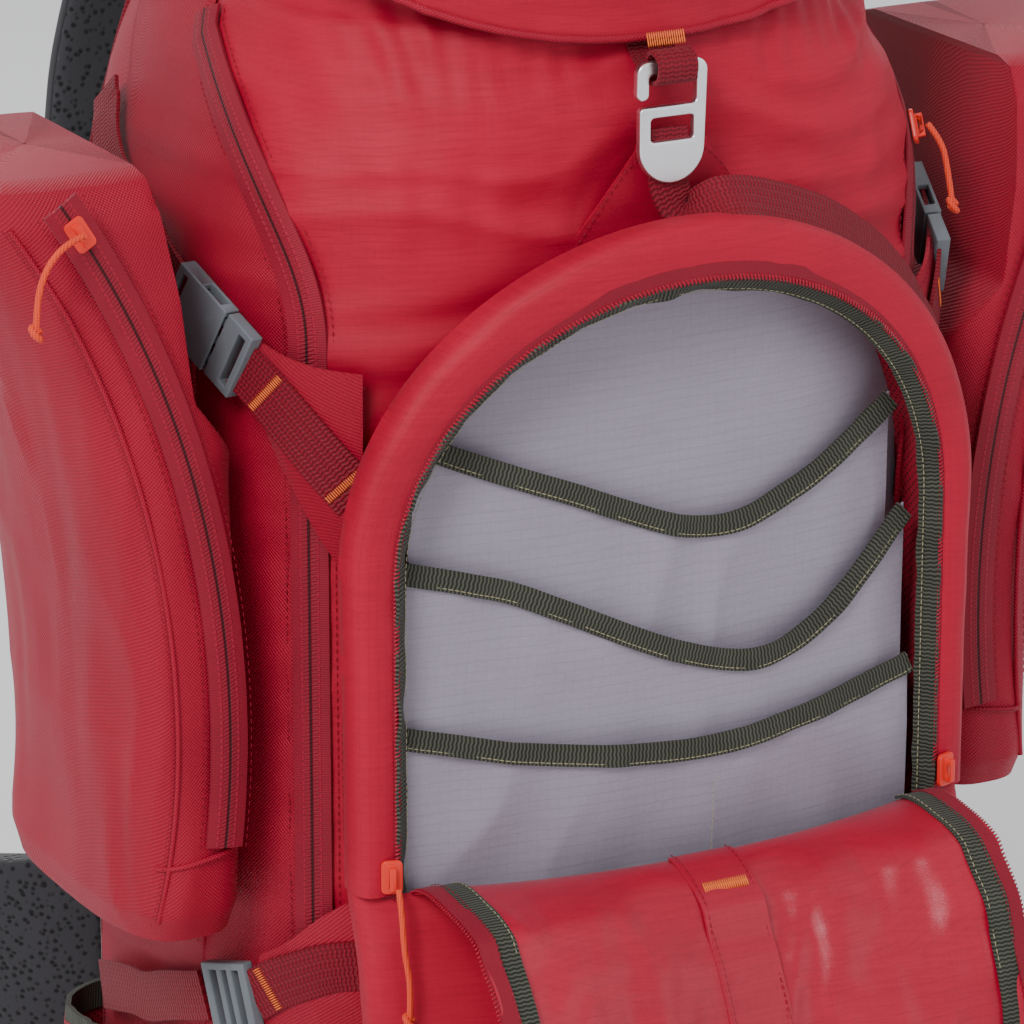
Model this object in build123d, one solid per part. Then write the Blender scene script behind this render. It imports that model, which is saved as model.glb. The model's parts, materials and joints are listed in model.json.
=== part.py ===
from build123d import *
import math
import os

# Large touring backpack for ski trips, standing on its flat base.
# Frame: +X to the wearer's right, -Y the outer front, +Y the wearer's side, +Z up.
# Origin: centre of the flat base, on the floor. Millimetres.

# ---------------------------------------------------------------- driving sizes
BODY_HALF_WIDTH = 152.0       # main bag, at its fullest
BODY_FRONT = 112.0            # main bag front, ahead of the origin
BODY_BACK = 128.0             # main bag rear, behind the origin
BODY_TOP = 610.0              # rim of the main bag
SHELL = 3.0                   # fabric with its foam and coating, as one wall
FIT_GAP = 0.4                 # clearance between sewn pieces laid on each other
MOVE_GAP = 1.0                # clearance between pieces that move past each other
ROUNDNESS = 3.0               # power of the rounded section of the bag

OPENING_HALF = 116.0          # pocket opening, half width
OPENING_BASE = 278.0          # height where the opening starts
OPENING_SPRING = 398.0        # height where its arch starts
OPENING_RISE = 104.0          # rise of the arch
RIM_FRONT = 150.0             # pocket rim ahead of the origin, on the centre line
RIM_CURVE = 0.00145           # how fast the rim falls back to the sides, per mm
BAND_WIDTH = 14.0             # width of the band around the opening
BAND_DEPTH = 14.0             # depth of the band
POUCH_BASE = 96.0             # lowest point of the front pocket
POUCH_BULGE = 18.0            # how far the filled pouch swells below the opening

WEBBING = 20.0                # width of the side straps
WEBBING_THICK = 1.6           # thickness of all webbing
TAPE_WIDTH = 14.0             # width of a main zip with both tapes
TAPE_THICK = 1.2
FRONT_TAPE = 7.0              # width of the front pocket zip

FLAP_MARGIN = 5.0             # flap edge inside the opening edge
FLAP_CURVE = 0.0011           # crosswise curve of the flap, per mm
FLAP_THICK = 2.4
FLAP_FOLD_UP = 73.0           # length of the flap from the fold to its crease
FLAP_HANG = 145.0             # angle from closed to hanging open, degrees
CREASE_HANG = 27.0            # further turn of the flap's lower part, degrees
HINGE_FRONT = 154.0           # flap fold ahead of the origin
HINGE_HEIGHT = 275.0

HOOK_Z = 556.0                # height of the hook's middle
HOOK_FRONT = 125.0
HOOK_WIDTH = 30.0
HOOK_LENGTH = 46.0
HOOK_THICK = 3.6
HOOK_BAR = 5.0

ZIP_ARC_R = 375.0             # side pocket zip: radius of its curve
ZIP_ARC_X = 538.0             # and the centre of that curve
ZIP_ARC_Z = 336.0
ZIP_TOP = 541.0
ZIP_LOW = 296.0
POCKET_FRONT = 84.0           # side pocket, ahead of the origin
POCKET_BACK = 58.0
POCKET_INNER = 160.0          # inner wall of the side pocket

MAIN_ZIP_X = 126.0            # main zip beside the front panel
MAIN_ZIP_LOW = 110.0

BELT_Z = 150.0
BELT_HINGE_X = 112.0


# ---------------------------------------------------------------- the bag's surface
def body_profile(z):
    """Half width, front and rear of the bag at a height."""
    foot = max(0.0, 1.0 - z / 90.0) ** 2
    neck = min(max(z - 490.0, 0.0), 110.0)
    lean = max(z - 540.0, 0.0)
    half = BODY_HALF_WIDTH - 20.0 * foot - 0.0041 * neck ** 2 + 0.0017 * neck * lean
    front = BODY_FRONT - 24.0 * foot - 0.0045 * lean ** 2
    back = BODY_BACK - 22.0 * foot + 0.10 * lean
    return half, front, back


def body_point(turn, z, lift=0.0):
    """Point on the bag at a turn from the front centre (+ to +X), and the normal there."""
    half, front, back = body_profile(z)
    mid = (back - front) / 2
    depth = (back + front) / 2
    s = math.sin(math.radians(turn))
    c = math.cos(math.radians(turn))
    across = math.copysign(abs(s) ** (2 / ROUNDNESS), s)
    ahead = -math.copysign(abs(c) ** (2 / ROUNDNESS), c)
    nx = math.copysign(abs(across) ** (ROUNDNESS - 1), across) / half
    ny = math.copysign(abs(ahead) ** (ROUNDNESS - 1), ahead) / depth
    half_up, front_up, back_up = body_profile(z + 1)
    rise_x = across * (half_up - half)
    rise_y = (back_up - front_up) / 2 - mid + ahead * ((back_up + front_up) / 2 - depth)
    normal = Vector(nx, ny, -(nx * rise_x + ny * rise_y)).normalized()
    return Vector(across * half, mid + ahead * depth, z) + normal * lift, normal


def ring(cx, cy, z, half_x, half_y, power=ROUNDNESS, count=32):
    """Level face bounded by a rounded closed curve."""
    points = []
    for i in range(count):
        a = 2 * math.pi * (i + 0.5) / count
        s, c = math.sin(a), math.cos(a)
        x = cx + half_x * math.copysign(abs(s) ** (2 / power), s)
        y = cy + half_y * math.copysign(abs(c) ** (2 / power), c)
        points.append((x, y, z))
    return Face(Wire([Spline(*points, periodic=True).edge()]))


def body_solid(inset, z_from, z_to, steps=12):
    """Solid of the bag's shape, drawn in by an inset."""
    faces = []
    for i in range(steps + 1):
        z = z_from + (z_to - z_from) * i / steps
        half, front, back = body_profile(min(max(z, 0.0), BODY_TOP))
        faces.append(ring(0, (back - front) / 2, z, half - inset, (back + front) / 2 - inset))
    return loft(faces)


def block(x0, x1, y0, y1, z0, z1):
    """Box between two corners."""
    size = Box(x1 - x0, y1 - y0, z1 - z0)
    return Pos((x0 + x1) / 2, (y0 + y1) / 2, (z0 + z1) / 2) * size


def both_sides(part):
    """A piece and its mirror image across the middle plane, as two solids."""
    return Compound(children=[*part.solids(), *mirror(part, Plane.YZ).solids()])


def strip(points, normals, width, thick, lift=0.0):
    """Flat band along points, square to the normals; width may change along it."""
    widths = width if isinstance(width, list) else [width] * len(points)
    faces = []
    for i, point in enumerate(points):
        ahead = points[min(i + 1, len(points) - 1)]
        behind = points[max(i - 1, 0)]
        along = (ahead - behind).normalized()
        side = normals[i].cross(along).normalized()
        plane = Plane(origin=point + normals[i] * lift, x_dir=side, z_dir=along)
        faces.append((plane * Rectangle(widths[i], thick)).face())
    return loft(faces, ruled=True)


def arch_outline(half, base, spring, rise, steps=18):
    """Upright outline in X and Z: straight sides under a half ellipse."""
    points = [(-half, base), (-half, spring)]
    for i in range(1, steps):
        a = math.pi * i / steps
        points.append((-half * math.cos(a), spring + rise * math.sin(a)))
    points += [(half, spring), (half, base)]
    return points


def upright_prism(points, y0, y1):
    """Prism of an X-Z outline between two Y values."""
    wire = Polyline(*[(x, y0, z) for x, z in points], close=True)
    return extrude(Face(Wire(wire.edges())), amount=y1 - y0, dir=(0, 1, 0))


def curved_slab(near, far, curve, half, z0, z1):
    """Slab between two faces that fall back to the sides: y = -near + curve x^2."""
    outline = [(-half, -near + curve * half ** 2), (0, -near), (half, -near + curve * half ** 2)]
    back = [(half, -far + curve * half ** 2), (0, -far), (-half, -far + curve * half ** 2)]
    edges = [
        ThreePointArc(*[(x, y, z0) for x, y in outline]),
        Line((*outline[2], z0), (*back[0], z0)),
        ThreePointArc(*[(x, y, z0) for x, y in back]),
        Line((*back[2], z0), (*outline[0], z0)),
    ]
    return extrude(Face(Wire([edge.edge() for edge in edges])), amount=z1 - z0, dir=(0, 0, 1))


os.makedirs("parts", exist_ok=True)
made = {}


def save(name, part):
    """Write one node and keep it for the pieces that fit to it."""
    made[name] = part
    export_step(part, f"parts/{name}.step")


# ---------------------------------------------------------------- main bag
outer = body_solid(0, 0, BODY_TOP)
inner = body_solid(SHELL, SHELL, BODY_TOP + 1)
shell = outer - inner
PANEL_EDGE = MAIN_ZIP_X - 1.0                  # seam between front and side panels
REAR_EDGE = 78.0                               # seam between side and rear panels
BASE_SEAM = 40.0
upper = block(-200, 200, -200, 200, BASE_SEAM, BODY_TOP + 1)
front_zone = block(-PANEL_EDGE, PANEL_EDGE, -200, 0, BASE_SEAM, BODY_TOP + 1)
rear_zone = block(-200, 200, REAR_EDGE, 260, BASE_SEAM, BODY_TOP + 1)
left_zone = block(-200, 0, -200, REAR_EDGE, BASE_SEAM, BODY_TOP + 1) - front_zone
right_zone = block(0, 200, -200, REAR_EDGE, BASE_SEAM, BODY_TOP + 1) - front_zone
save("base_panel", shell & block(-200, 200, -200, 200, -1, BASE_SEAM))
save("front_panel", shell & front_zone)
save("rear_panel", shell & rear_zone)
save("left_side_panel", shell & left_zone)
save("right_side_panel", shell & right_zone)

# Collar above the rim, drawn in to a narrow mouth under the lid.
COLLAR_TOP = 652.0
COLLAR_MOUTH = 78.0
top_half, top_front, top_back = body_profile(BODY_TOP)
top_mid = (top_back - top_front) / 2
top_depth = (top_back + top_front) / 2


def collar_shape(inset):
    """Tapering collar solid."""
    low = ring(0, top_mid, BODY_TOP, top_half - SHELL - inset, top_depth - SHELL - inset)
    middle = ring(0, top_mid, BODY_TOP + 20, top_half - 16 - inset, top_depth - 16 - inset)
    high = ring(0, top_mid, COLLAR_TOP, COLLAR_MOUTH - inset, COLLAR_MOUTH * 0.86 - inset, 2.4)
    return loft([low, middle, high], ruled=True)


save("collar", collar_shape(FIT_GAP) - collar_shape(FIT_GAP + 2.0))

# Frame inside the rear wall: plastic sheet and two aluminium stays.
SHEET_Y = 96.0
SHEET_THICK = 1.6
sheet_outline = [(-92, 52), (-92, 500), (-70, 540), (70, 540), (92, 500), (92, 52)]
save("frame_sheet", upright_prism(sheet_outline, SHEET_Y, SHEET_Y + SHEET_THICK))
STAY_X = 52.0
stay_y = SHEET_Y - FIT_GAP - 3.0
stay = block(STAY_X - 9, STAY_X + 9, stay_y, stay_y + 3.0, 56, 530)
save("frame_stays", both_sides(stay))

# Foam back pad with a raised lumbar pad below it.
pad_shape = upright_prism([(-96, 236), (-112, 470), (-80, 560), (80, 560), (112, 470), (96, 236)], 90, 146)
lumbar_shape = upright_prism([(-104, 96), (-98, 228), (98, 228), (104, 96)], 90, 153)
pad_clear = body_solid(-FIT_GAP, 0, BODY_TOP)
save("back_pad", pad_shape - pad_clear)
save("lumbar_pad", lumbar_shape - pad_clear)

# ---------------------------------------------------------------- main zips
zip_top = 584.0


def main_zip_path(side, lift):
    """Zip line: an arc over the shoulder of the bag, then straight down its front corner."""
    points, normals = [], []
    steps = 16
    for i in range(steps + 1):
        z = MAIN_ZIP_LOW + (zip_top - MAIN_ZIP_LOW) * i / steps
        half, front, back = body_profile(z)
        bend = max(z - 478.0, 0.0) / (zip_top - 478.0)
        x = min(MAIN_ZIP_X, half * 0.995)
        turn = math.degrees(math.asin((x / half) ** (ROUNDNESS / 2)))
        turn = turn + (88.0 - turn) * bend ** 2
        point, normal = body_point(side * turn, z, lift)
        points.append(point)
        normals.append(normal)
    return points, normals


TAPE_LIFT = 3.9
zip_line, zip_normals = main_zip_path(-1, TAPE_LIFT)
save("main_zips", both_sides(strip(zip_line, zip_normals, TAPE_WIDTH, TAPE_THICK)))


# ---------------------------------------------------------------- side wing pockets
def pocket_half(z):
    """Outer reach of the side pocket at a height: it follows the curve of its zip."""
    return ZIP_ARC_X - math.sqrt(ZIP_ARC_R ** 2 - (z - ZIP_ARC_Z) ** 2)


def pocket_ring(z, inset=0.0):
    """Level section of the left side pocket."""
    reach = pocket_half(z) + 38.0 - 8.0 * max(0.0, (330.0 - z) / 70.0)
    cx = -(reach + POCKET_INNER - 12.0) / 2
    half_x = (reach - POCKET_INNER + 12.0) / 2 - inset
    half_y = (POCKET_FRONT + POCKET_BACK) / 2 - inset - 10.0 * max(0.0, (z - 500.0) / 45.0)
    return ring(cx, (POCKET_BACK - POCKET_FRONT) / 2, z, half_x, half_y)


POCKET_LOW = 252.0
POCKET_TOP = 545.0
levels = [POCKET_LOW + (POCKET_TOP - POCKET_LOW) * i / 6 for i in range(7)]
pocket = loft([pocket_ring(z, 8.0 if z in (levels[0], levels[-1]) else 0.0) for z in levels])
TUNNEL_FRONT = -40.0
tunnel = block(-POCKET_INNER, -100, TUNNEL_FRONT, 120, 200, 620)
flare = [(-100, 436), (-152, 436), (-173, 462), (-184, 546), (-184, 620), (-100, 620)]
pocket = pocket - body_solid(-FIT_GAP, 200, BODY_TOP) - tunnel - upright_prism(flare, -200, 200)
pocket = max(pocket.solids(), key=lambda solid: solid.volume)
save("left_side_pocket", pocket)
save("right_side_pocket", mirror(pocket, Plane.YZ))

pocket_zip_y = -(POCKET_FRONT + 1.5)
zip_line, zip_normals = [], []
for i in range(13):
    z = ZIP_LOW + (ZIP_TOP - ZIP_LOW) * i / 12
    zip_line.append(Vector(-pocket_half(z), pocket_zip_y, z))
    zip_normals.append(Vector(0, -1, 0))
save("side_pocket_zips", both_sides(strip(zip_line, zip_normals, TAPE_WIDTH, TAPE_THICK)))

# ---------------------------------------------------------------- front pocket
rim_outer = arch_outline(OPENING_HALF + BAND_WIDTH, OPENING_BASE, OPENING_SPRING, OPENING_RISE + BAND_WIDTH + 6)
rim_inner = arch_outline(OPENING_HALF, OPENING_BASE - 1, OPENING_SPRING, OPENING_RISE)
band_prism = upright_prism(rim_outer, -200, 0) - upright_prism(rim_inner, -201, 1)
band_slab = curved_slab(RIM_FRONT, RIM_FRONT - BAND_DEPTH, RIM_CURVE, 150, 200, 560)
save("pocket_band", band_prism & band_slab)

GUSSET_THICK = 2.4
clear_body = body_solid(-FIT_GAP, 0, BODY_TOP)
gusset_outer = arch_outline(OPENING_HALF + GUSSET_THICK, OPENING_BASE, OPENING_SPRING, OPENING_RISE + GUSSET_THICK)
gusset_prism = upright_prism(gusset_outer, -200, 0) - upright_prism(rim_inner, -201, 1)
gusset_slab = curved_slab(RIM_FRONT - BAND_DEPTH - FIT_GAP, 20, RIM_CURVE, 150, 200, 560)
save("pocket_gusset", (gusset_prism & gusset_slab) - clear_body)

# Pouch below the opening: front wall, sides and floor, open at the top.
pouch_half = OPENING_HALF + BAND_WIDTH


def pouch_section(z, inset):
    """Level section of the pouch, square behind and curved in front."""
    swell = POUCH_BULGE * math.sin(math.pi * min(1.0, (z - POUCH_BASE) / (OPENING_BASE - POUCH_BASE)))
    tuck = 34.0 * max(0.0, 1 - (z - POUCH_BASE) / 40.0) ** 2
    half = pouch_half - 0.5 * tuck - inset
    near = RIM_FRONT + swell - tuck - inset
    side_y = -near + RIM_CURVE * half ** 2
    back_y = -60.0
    arc = ThreePointArc((-half, side_y, z), (0, -near, z), (half, side_y, z))
    step_y = side_y + BAND_DEPTH + inset
    neck = OPENING_HALF + GUSSET_THICK - inset
    side = [(half, side_y), (half, step_y), (neck, step_y + 6), (neck, back_y)]
    mirrored = [(-x, y) for x, y in reversed(side)]
    rest = Polyline(*[(x, y, z) for x, y in side + mirrored])
    return Face(Wire([arc.edge(), *rest.edges()]))


pouch_top = OPENING_BASE - FIT_GAP
pouch_levels = [POUCH_BASE + (pouch_top - POUCH_BASE) * i / 6 for i in range(7)]
pouch_outer = loft([pouch_section(z, 0) for z in pouch_levels])
inner_levels = [POUCH_BASE + SHELL + (pouch_top + 1 - POUCH_BASE - SHELL) * i / 6 for i in range(7)]
pouch_inner = loft([pouch_section(z, SHELL) for z in inner_levels])
save("pouch_front", pouch_outer - pouch_inner - clear_body)

# Lining and three sleeves inside the opening.
PANEL_Y = 113.6
lining_half = OPENING_HALF - FIT_GAP - 1.0
lining_outline = arch_outline(lining_half, 110, OPENING_SPRING, OPENING_RISE - FIT_GAP - 1.0)
save("organizer_panel", upright_prism(lining_outline, -PANEL_Y - 1.0, -PANEL_Y))
SLEEVE_GAP = 5.2
SLEEVE_THICK = 1.0
SLEEVE_LOW = 284.0
sleeves = [
    ("upper_sleeve", 103.0, 438.0, 404.0),
    ("middle_sleeve", 108.0, 396.0, 355.0),
    ("lower_sleeve", 104.0, 336.0, 318.0),
]
sleeve_y = -PANEL_Y - 1.0
for name, half, side_z, middle_z in sleeves:
    sleeve_y -= SLEEVE_GAP
    top = ThreePointArc((-half, sleeve_y, side_z), (0, sleeve_y, middle_z), (half, sleeve_y, side_z))
    rest = Polyline((half, sleeve_y, side_z), (half, sleeve_y, SLEEVE_LOW),
                    (-half, sleeve_y, SLEEVE_LOW), (-half, sleeve_y, side_z))
    face = Face(Wire([top.edge(), *rest.edges()]))
    save(name, extrude(face, amount=SLEEVE_THICK, dir=(0, 1, 0)))

# Coil zip on the rim of the opening.
zip_outline_out = arch_outline(OPENING_HALF + FRONT_TAPE, OPENING_BASE, OPENING_SPRING, OPENING_RISE + FRONT_TAPE)
zip_outline_in = arch_outline(OPENING_HALF + 1, OPENING_BASE - 1, OPENING_SPRING, OPENING_RISE + 1)
zip_prism = upright_prism(zip_outline_out, -200, 0) - upright_prism(zip_outline_in, -201, 1)
zip_slab = curved_slab(RIM_FRONT + FIT_GAP + TAPE_THICK, RIM_FRONT + FIT_GAP, RIM_CURVE, 150, 200, 560)
save("front_zip", zip_prism & zip_slab)

# ---------------------------------------------------------------- folding flap
flap_half = OPENING_HALF - FLAP_MARGIN
flap_base = HINGE_HEIGHT + 5.0
flap_outline = arch_outline(flap_half, flap_base, OPENING_SPRING, OPENING_RISE - FLAP_MARGIN)
flap_front = RIM_FRONT + 4.0 + FLAP_THICK
flap_slab = curved_slab(flap_front, flap_front - FLAP_THICK, FLAP_CURVE, 150, 200, 560)
flap_closed = upright_prism(flap_outline, -220, -80) & flap_slab
crease_z = HINGE_HEIGHT + FLAP_FOLD_UP
crease_gap = 1.5
fold_axis = Axis((0, -HINGE_FRONT, HINGE_HEIGHT), (1, 0, 0))
crease_axis = Axis((0, -flap_front + FLAP_THICK / 2, crease_z), (1, 0, 0))
flap_root = flap_closed & block(-200, 200, -260, 0, 200, crease_z - crease_gap)
flap_end = flap_closed & block(-200, 200, -260, 0, crease_z + crease_gap, 600)
save("flap_upper", flap_root.rotate(fold_axis, FLAP_HANG))
save("flap_lower", flap_end.rotate(crease_axis, CREASE_HANG).rotate(fold_axis, FLAP_HANG))
crease_arm = Vector(0, -flap_front + FLAP_THICK / 2 + HINGE_FRONT, FLAP_FOLD_UP).rotate(Axis.X, FLAP_HANG)
CREASE_POINT = Vector(0, -HINGE_FRONT, HINGE_HEIGHT) + crease_arm


# ---------------------------------------------------------------- zip sliders
def slider(centre, up, out, length=13.0, width=8.0, height=4.0):
    """Zip slider: a body with a raised bridge for its pull."""
    plane = Plane(origin=centre, x_dir=up.cross(out).normalized(), z_dir=out)
    lower = Box(width, length, height * 0.45)
    bridge = Pos(0, 0, height * 0.6) * Box(2.6, length * 0.7, height * 0.8)
    hole = Pos(0, 0, height * 0.62) * Box(6, length * 0.36, height * 0.42)
    return plane * (fillet(lower.edges().filter_by(Axis.Z), 2.0) + (bridge - hole))


FRONT_SLIDER_Z = OPENING_BASE + 8.0
slider_x = OPENING_HALF + 4.0
slider_y = -RIM_FRONT + RIM_CURVE * slider_x ** 2 - 4.6
for name, side in (("left_front_slider", -1), ("right_front_slider", 1)):
    centre = Vector(side * slider_x, slider_y, FRONT_SLIDER_Z)
    save(name, slider(centre, Vector(0, 0, 1), Vector(side * 0.32, -0.95, 0).normalized()))

for name, side in (("left_pocket_slider", -1), ("right_pocket_slider", 1)):
    z = ZIP_TOP - 9.0
    centre = Vector(side * pocket_half(z), pocket_zip_y - TAPE_THICK / 2 - 1.4, z)
    lean = Vector(side * (z - ZIP_ARC_Z), 0, ZIP_ARC_X - pocket_half(z)).normalized()
    save(name, slider(centre, lean, Vector(0, -1, 0)))

MAIN_LIFT = TAPE_LIFT + TAPE_THICK / 2 + 1.6
left_path, left_normals = main_zip_path(-1, MAIN_LIFT)
right_path, right_normals = main_zip_path(1, MAIN_LIFT)
save("left_main_slider", slider(left_path[1], (left_path[2] - left_path[1]).normalized(), left_normals[1]))
save("right_main_slider", slider(right_path[14], (right_path[14] - right_path[13]).normalized(),
                                 right_normals[14]))

# ---------------------------------------------------------------- yoke, wings and side straps
yoke_outline = [(-62, 480), (-9, 544), (21, 544), (66, 480)]
yoke_clear = arch_outline(OPENING_HALF + GUSSET_THICK + FIT_GAP, 200, OPENING_SPRING,
                          OPENING_RISE + GUSSET_THICK + FIT_GAP)
yoke_y = -PANEL_Y - 1.0
save("yoke", upright_prism(yoke_outline, yoke_y, yoke_y + 1.0) - upright_prism(yoke_clear, -200, 0))

WING_LIFT = TAPE_LIFT + TAPE_THICK + 1.8
STRAP_LIFT = WING_LIFT + 1.4 + WEBBING_THICK


def surface_strip(route, width, thick, lift):
    """Left-hand strip along (turn, height) pairs on the bag."""
    pairs = [body_point(-turn, z, lift) for turn, z in route]
    return strip([pair[0] for pair in pairs], [pair[1] for pair in pairs], width, thick)


upper_wing = surface_strip([(48, 452), (52, 460), (56, 467)], [62, 48, 34], 1.2, WING_LIFT)
lower_wing = surface_strip([(48, 232), (52, 230), (56, 226)], [60, 48, 34], 1.2, WING_LIFT)
save("strap_wings", Compound(children=[*both_sides(upper_wing).solids(), *both_sides(lower_wing).solids()]))

front_upper = surface_strip([(49, 448), (53, 456), (57, 465)], WEBBING, WEBBING_THICK, STRAP_LIFT)
front_lower = surface_strip([(49, 236), (53, 231), (56.5, 226)], WEBBING, WEBBING_THICK, STRAP_LIFT)
save("front_webbing", Compound(children=[*both_sides(front_upper).solids(), *both_sides(front_lower).solids()]))

BUCKLE_WIDTH = 28.0
BUCKLE_THICK = 7.0
BUCKLE_SOCKET = 29.0
BUCKLE_PLUG = 15.0
PRONG_LENGTH = 19.0
PRONG_THICK = 3.0
BUCKLE_LIFT = STRAP_LIFT + 4.0


def buckle_plane(turn_front, z_front, turn_rear, z_rear, lift):
    """Plane on the left side: local X to the rear along the strap, Z away from the bag."""
    front, normal_front = body_point(-turn_front, z_front, lift)
    rear, normal_rear = body_point(-turn_rear, z_rear, lift)
    along = (rear - front).normalized()
    out = (normal_front + normal_rear).normalized()
    out = (out - along * out.dot(along)).normalized()
    return Plane(origin=front, x_dir=along, z_dir=out)


upper_plane = buckle_plane(59.5, 470, 86, 503, BUCKLE_LIFT)
plug = Pos(BUCKLE_PLUG / 2, 0, 0) * Box(BUCKLE_PLUG, BUCKLE_WIDTH, BUCKLE_THICK - 1.5)
plug -= Pos(5.0, 0, 0) * Box(4.0, WEBBING + 2.0, BUCKLE_THICK)
for offset in (-8.6, 0.0, 8.6):
    plug += Pos(BUCKLE_PLUG + PRONG_LENGTH / 2 - 0.5, offset, 0) * Box(PRONG_LENGTH + 1, 3.6, PRONG_THICK)
socket_start = BUCKLE_PLUG + MOVE_GAP
socket = Pos(socket_start + BUCKLE_SOCKET / 2, 0, 0) * Box(BUCKLE_SOCKET, BUCKLE_WIDTH, BUCKLE_THICK)
cavity = PRONG_LENGTH + MOVE_GAP
socket -= Pos(socket_start + cavity / 2 - 0.5, 0, 0) * Box(cavity + 1, BUCKLE_WIDTH - 5.6, PRONG_THICK + 1.2)
for edge in (-1, 1):
    window = Pos(socket_start + 10, edge * BUCKLE_WIDTH / 2, 0) * Box(11, 7, PRONG_THICK + 1.2)
    socket -= window
socket -= Pos(socket_start + BUCKLE_SOCKET - 4.2, 0, 0) * Box(3.4, WEBBING + 2.0, BUCKLE_THICK + 2)
save("buckle_plugs", both_sides(upper_plane * plug))
save("left_buckle_socket", upper_plane * socket)
save("right_buckle_socket", mirror(upper_plane * socket, Plane.YZ))
BUCKLE_AXIS = upper_plane.x_dir

# Rear webbing of the upper strap: straight under the socket and well behind it, then home.
under = -BUCKLE_THICK / 2 - FIT_GAP - WEBBING_THICK / 2
straight = [socket_start + 6.0, socket_start + BUCKLE_SOCKET + 30.0]
rear_points = [upper_plane.from_local_coords(Vector(x, 0, under)) for x in straight]
anchor, anchor_normal = body_point(-101, 545, 6.0)
rear_points.append(anchor)
rear_normals = [upper_plane.z_dir, upper_plane.z_dir, anchor_normal]
rear_upper = strip(rear_points, rear_normals, WEBBING, WEBBING_THICK)

# Lower strap: a ladder lock that tips up about its front bar.
lower_plane = buckle_plane(59.5, 222, 88, 201, BUCKLE_LIFT)
LOCK_LENGTH = 27.0
LOCK_THICK = 5.0
lock = Pos(LOCK_LENGTH / 2, 0, 0) * Box(LOCK_LENGTH, BUCKLE_WIDTH, LOCK_THICK)
for centre_x, slot in ((6.5, 4.6), (13.5, 3.6), (20.5, 4.6)):
    lock -= Pos(centre_x, 0, 0) * Box(slot, WEBBING + 2.0, LOCK_THICK + 2)
save("left_ladder_lock", lower_plane * lock)
save("right_ladder_lock", mirror(lower_plane * lock, Plane.YZ))
LOCK_PIVOT = lower_plane.from_local_coords(Vector(2.0, 0, 0))
LOCK_AXIS = lower_plane.y_dir
lower_start = lower_plane.from_local_coords(Vector(LOCK_LENGTH + 3.0, 0, 0))
lower_path = [lower_start]
lower_normals = [lower_plane.z_dir]
for turn, z in ((92, 192), (100, 184)):
    point, normal = body_point(-turn, z, 4.0 if turn > 95 else 9.0)
    lower_path.append(point)
    lower_normals.append(normal)
rear_lower = strip(lower_path, lower_normals, WEBBING, WEBBING_THICK)
save("rear_webbing", Compound(children=[*both_sides(rear_upper).solids(), *both_sides(rear_lower).solids()]))

# ---------------------------------------------------------------- stretch bottle pockets
BOTTLE_HALF = 50.0
BOTTLE_X = 116.0
BOTTLE_Y = 30.0
BOTTLE_DEPTH = 80.0
BOTTLE_WALL = 2.4


def bottle_shape(inset, z_low):
    """Left bottle pocket volume, drawn in by an inset."""
    rings = []
    for z, grow in ((z_low, -4.0), (60.0, 0.0), (210.0, 0.0)):
        rings.append(ring(-BOTTLE_X, BOTTLE_Y, z, BOTTLE_HALF + grow - inset, BOTTLE_DEPTH + grow - inset, 2.6))
    return loft(rings)


hem = [(-60, 184), (120, 150), (120, 320), (-60, 320)]
hem_wire = Polyline(*[(-260, y, z) for y, z in hem], close=True)
hem_cut = extrude(Face(Wire(hem_wire.edges())), amount=300, dir=(1, 0, 0))
bottle = bottle_shape(0, 12.0) - bottle_shape(BOTTLE_WALL, 12.0 + BOTTLE_WALL) - hem_cut - clear_body
bottle = max(bottle.solids(), key=lambda solid: solid.volume)
save("left_bottle_pocket", bottle)
save("right_bottle_pocket", mirror(bottle, Plane.YZ))

# ---------------------------------------------------------------- hook and top strap
half_w = HOOK_WIDTH / 2
bar_z = HOOK_Z + HOOK_LENGTH / 2 - HOOK_BAR / 2          # middle of the hook's top bar
foot_z = HOOK_Z - HOOK_LENGTH / 2
hook_face = Pos(0, HOOK_Z - 8) * Rectangle(HOOK_WIDTH - 3, HOOK_LENGTH - 16)
hook_face += Pos(0, foot_z + 13) * Circle(13)
hook_face += Pos(half_w - 3.8, HOOK_Z + 6) * Rectangle(HOOK_BAR - 0.4, HOOK_LENGTH - 12)
hook_face += Pos(-0.5, bar_z) * SlotOverall(HOOK_WIDTH - 1, HOOK_BAR)
hook_face += Pos(-half_w + 2.2, bar_z - 4.5) * Rectangle(4.4, 9) + Pos(-half_w + 2.2, bar_z - 9) * Circle(2.6)
hook_face -= Pos(0, HOOK_Z - 2.5) * Rectangle(18, 9)
hook_face -= Pos(-4.0, HOOK_Z + 11.5) * Rectangle(17.4, 12)
hook_face -= Pos(-half_w + 1.0, HOOK_Z + 6.2) * Rectangle(8, 3.4)
hook_plane = Plane(origin=(0, -HOOK_FRONT + HOOK_THICK / 2, 0), x_dir=(1, 0, 0), z_dir=(0, -1, 0))
hook = max((hook_plane * extrude(hook_face, amount=HOOK_THICK)).solids(), key=lambda solid: solid.volume)
save("g_hook", hook)

slot_y = -HOOK_FRONT + HOOK_THICK / 2 + FIT_GAP
save("hook_webbing", block(-8.4, 8.4, slot_y, slot_y + WEBBING_THICK, foot_z - 18, HOOK_Z + 1))

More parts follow.
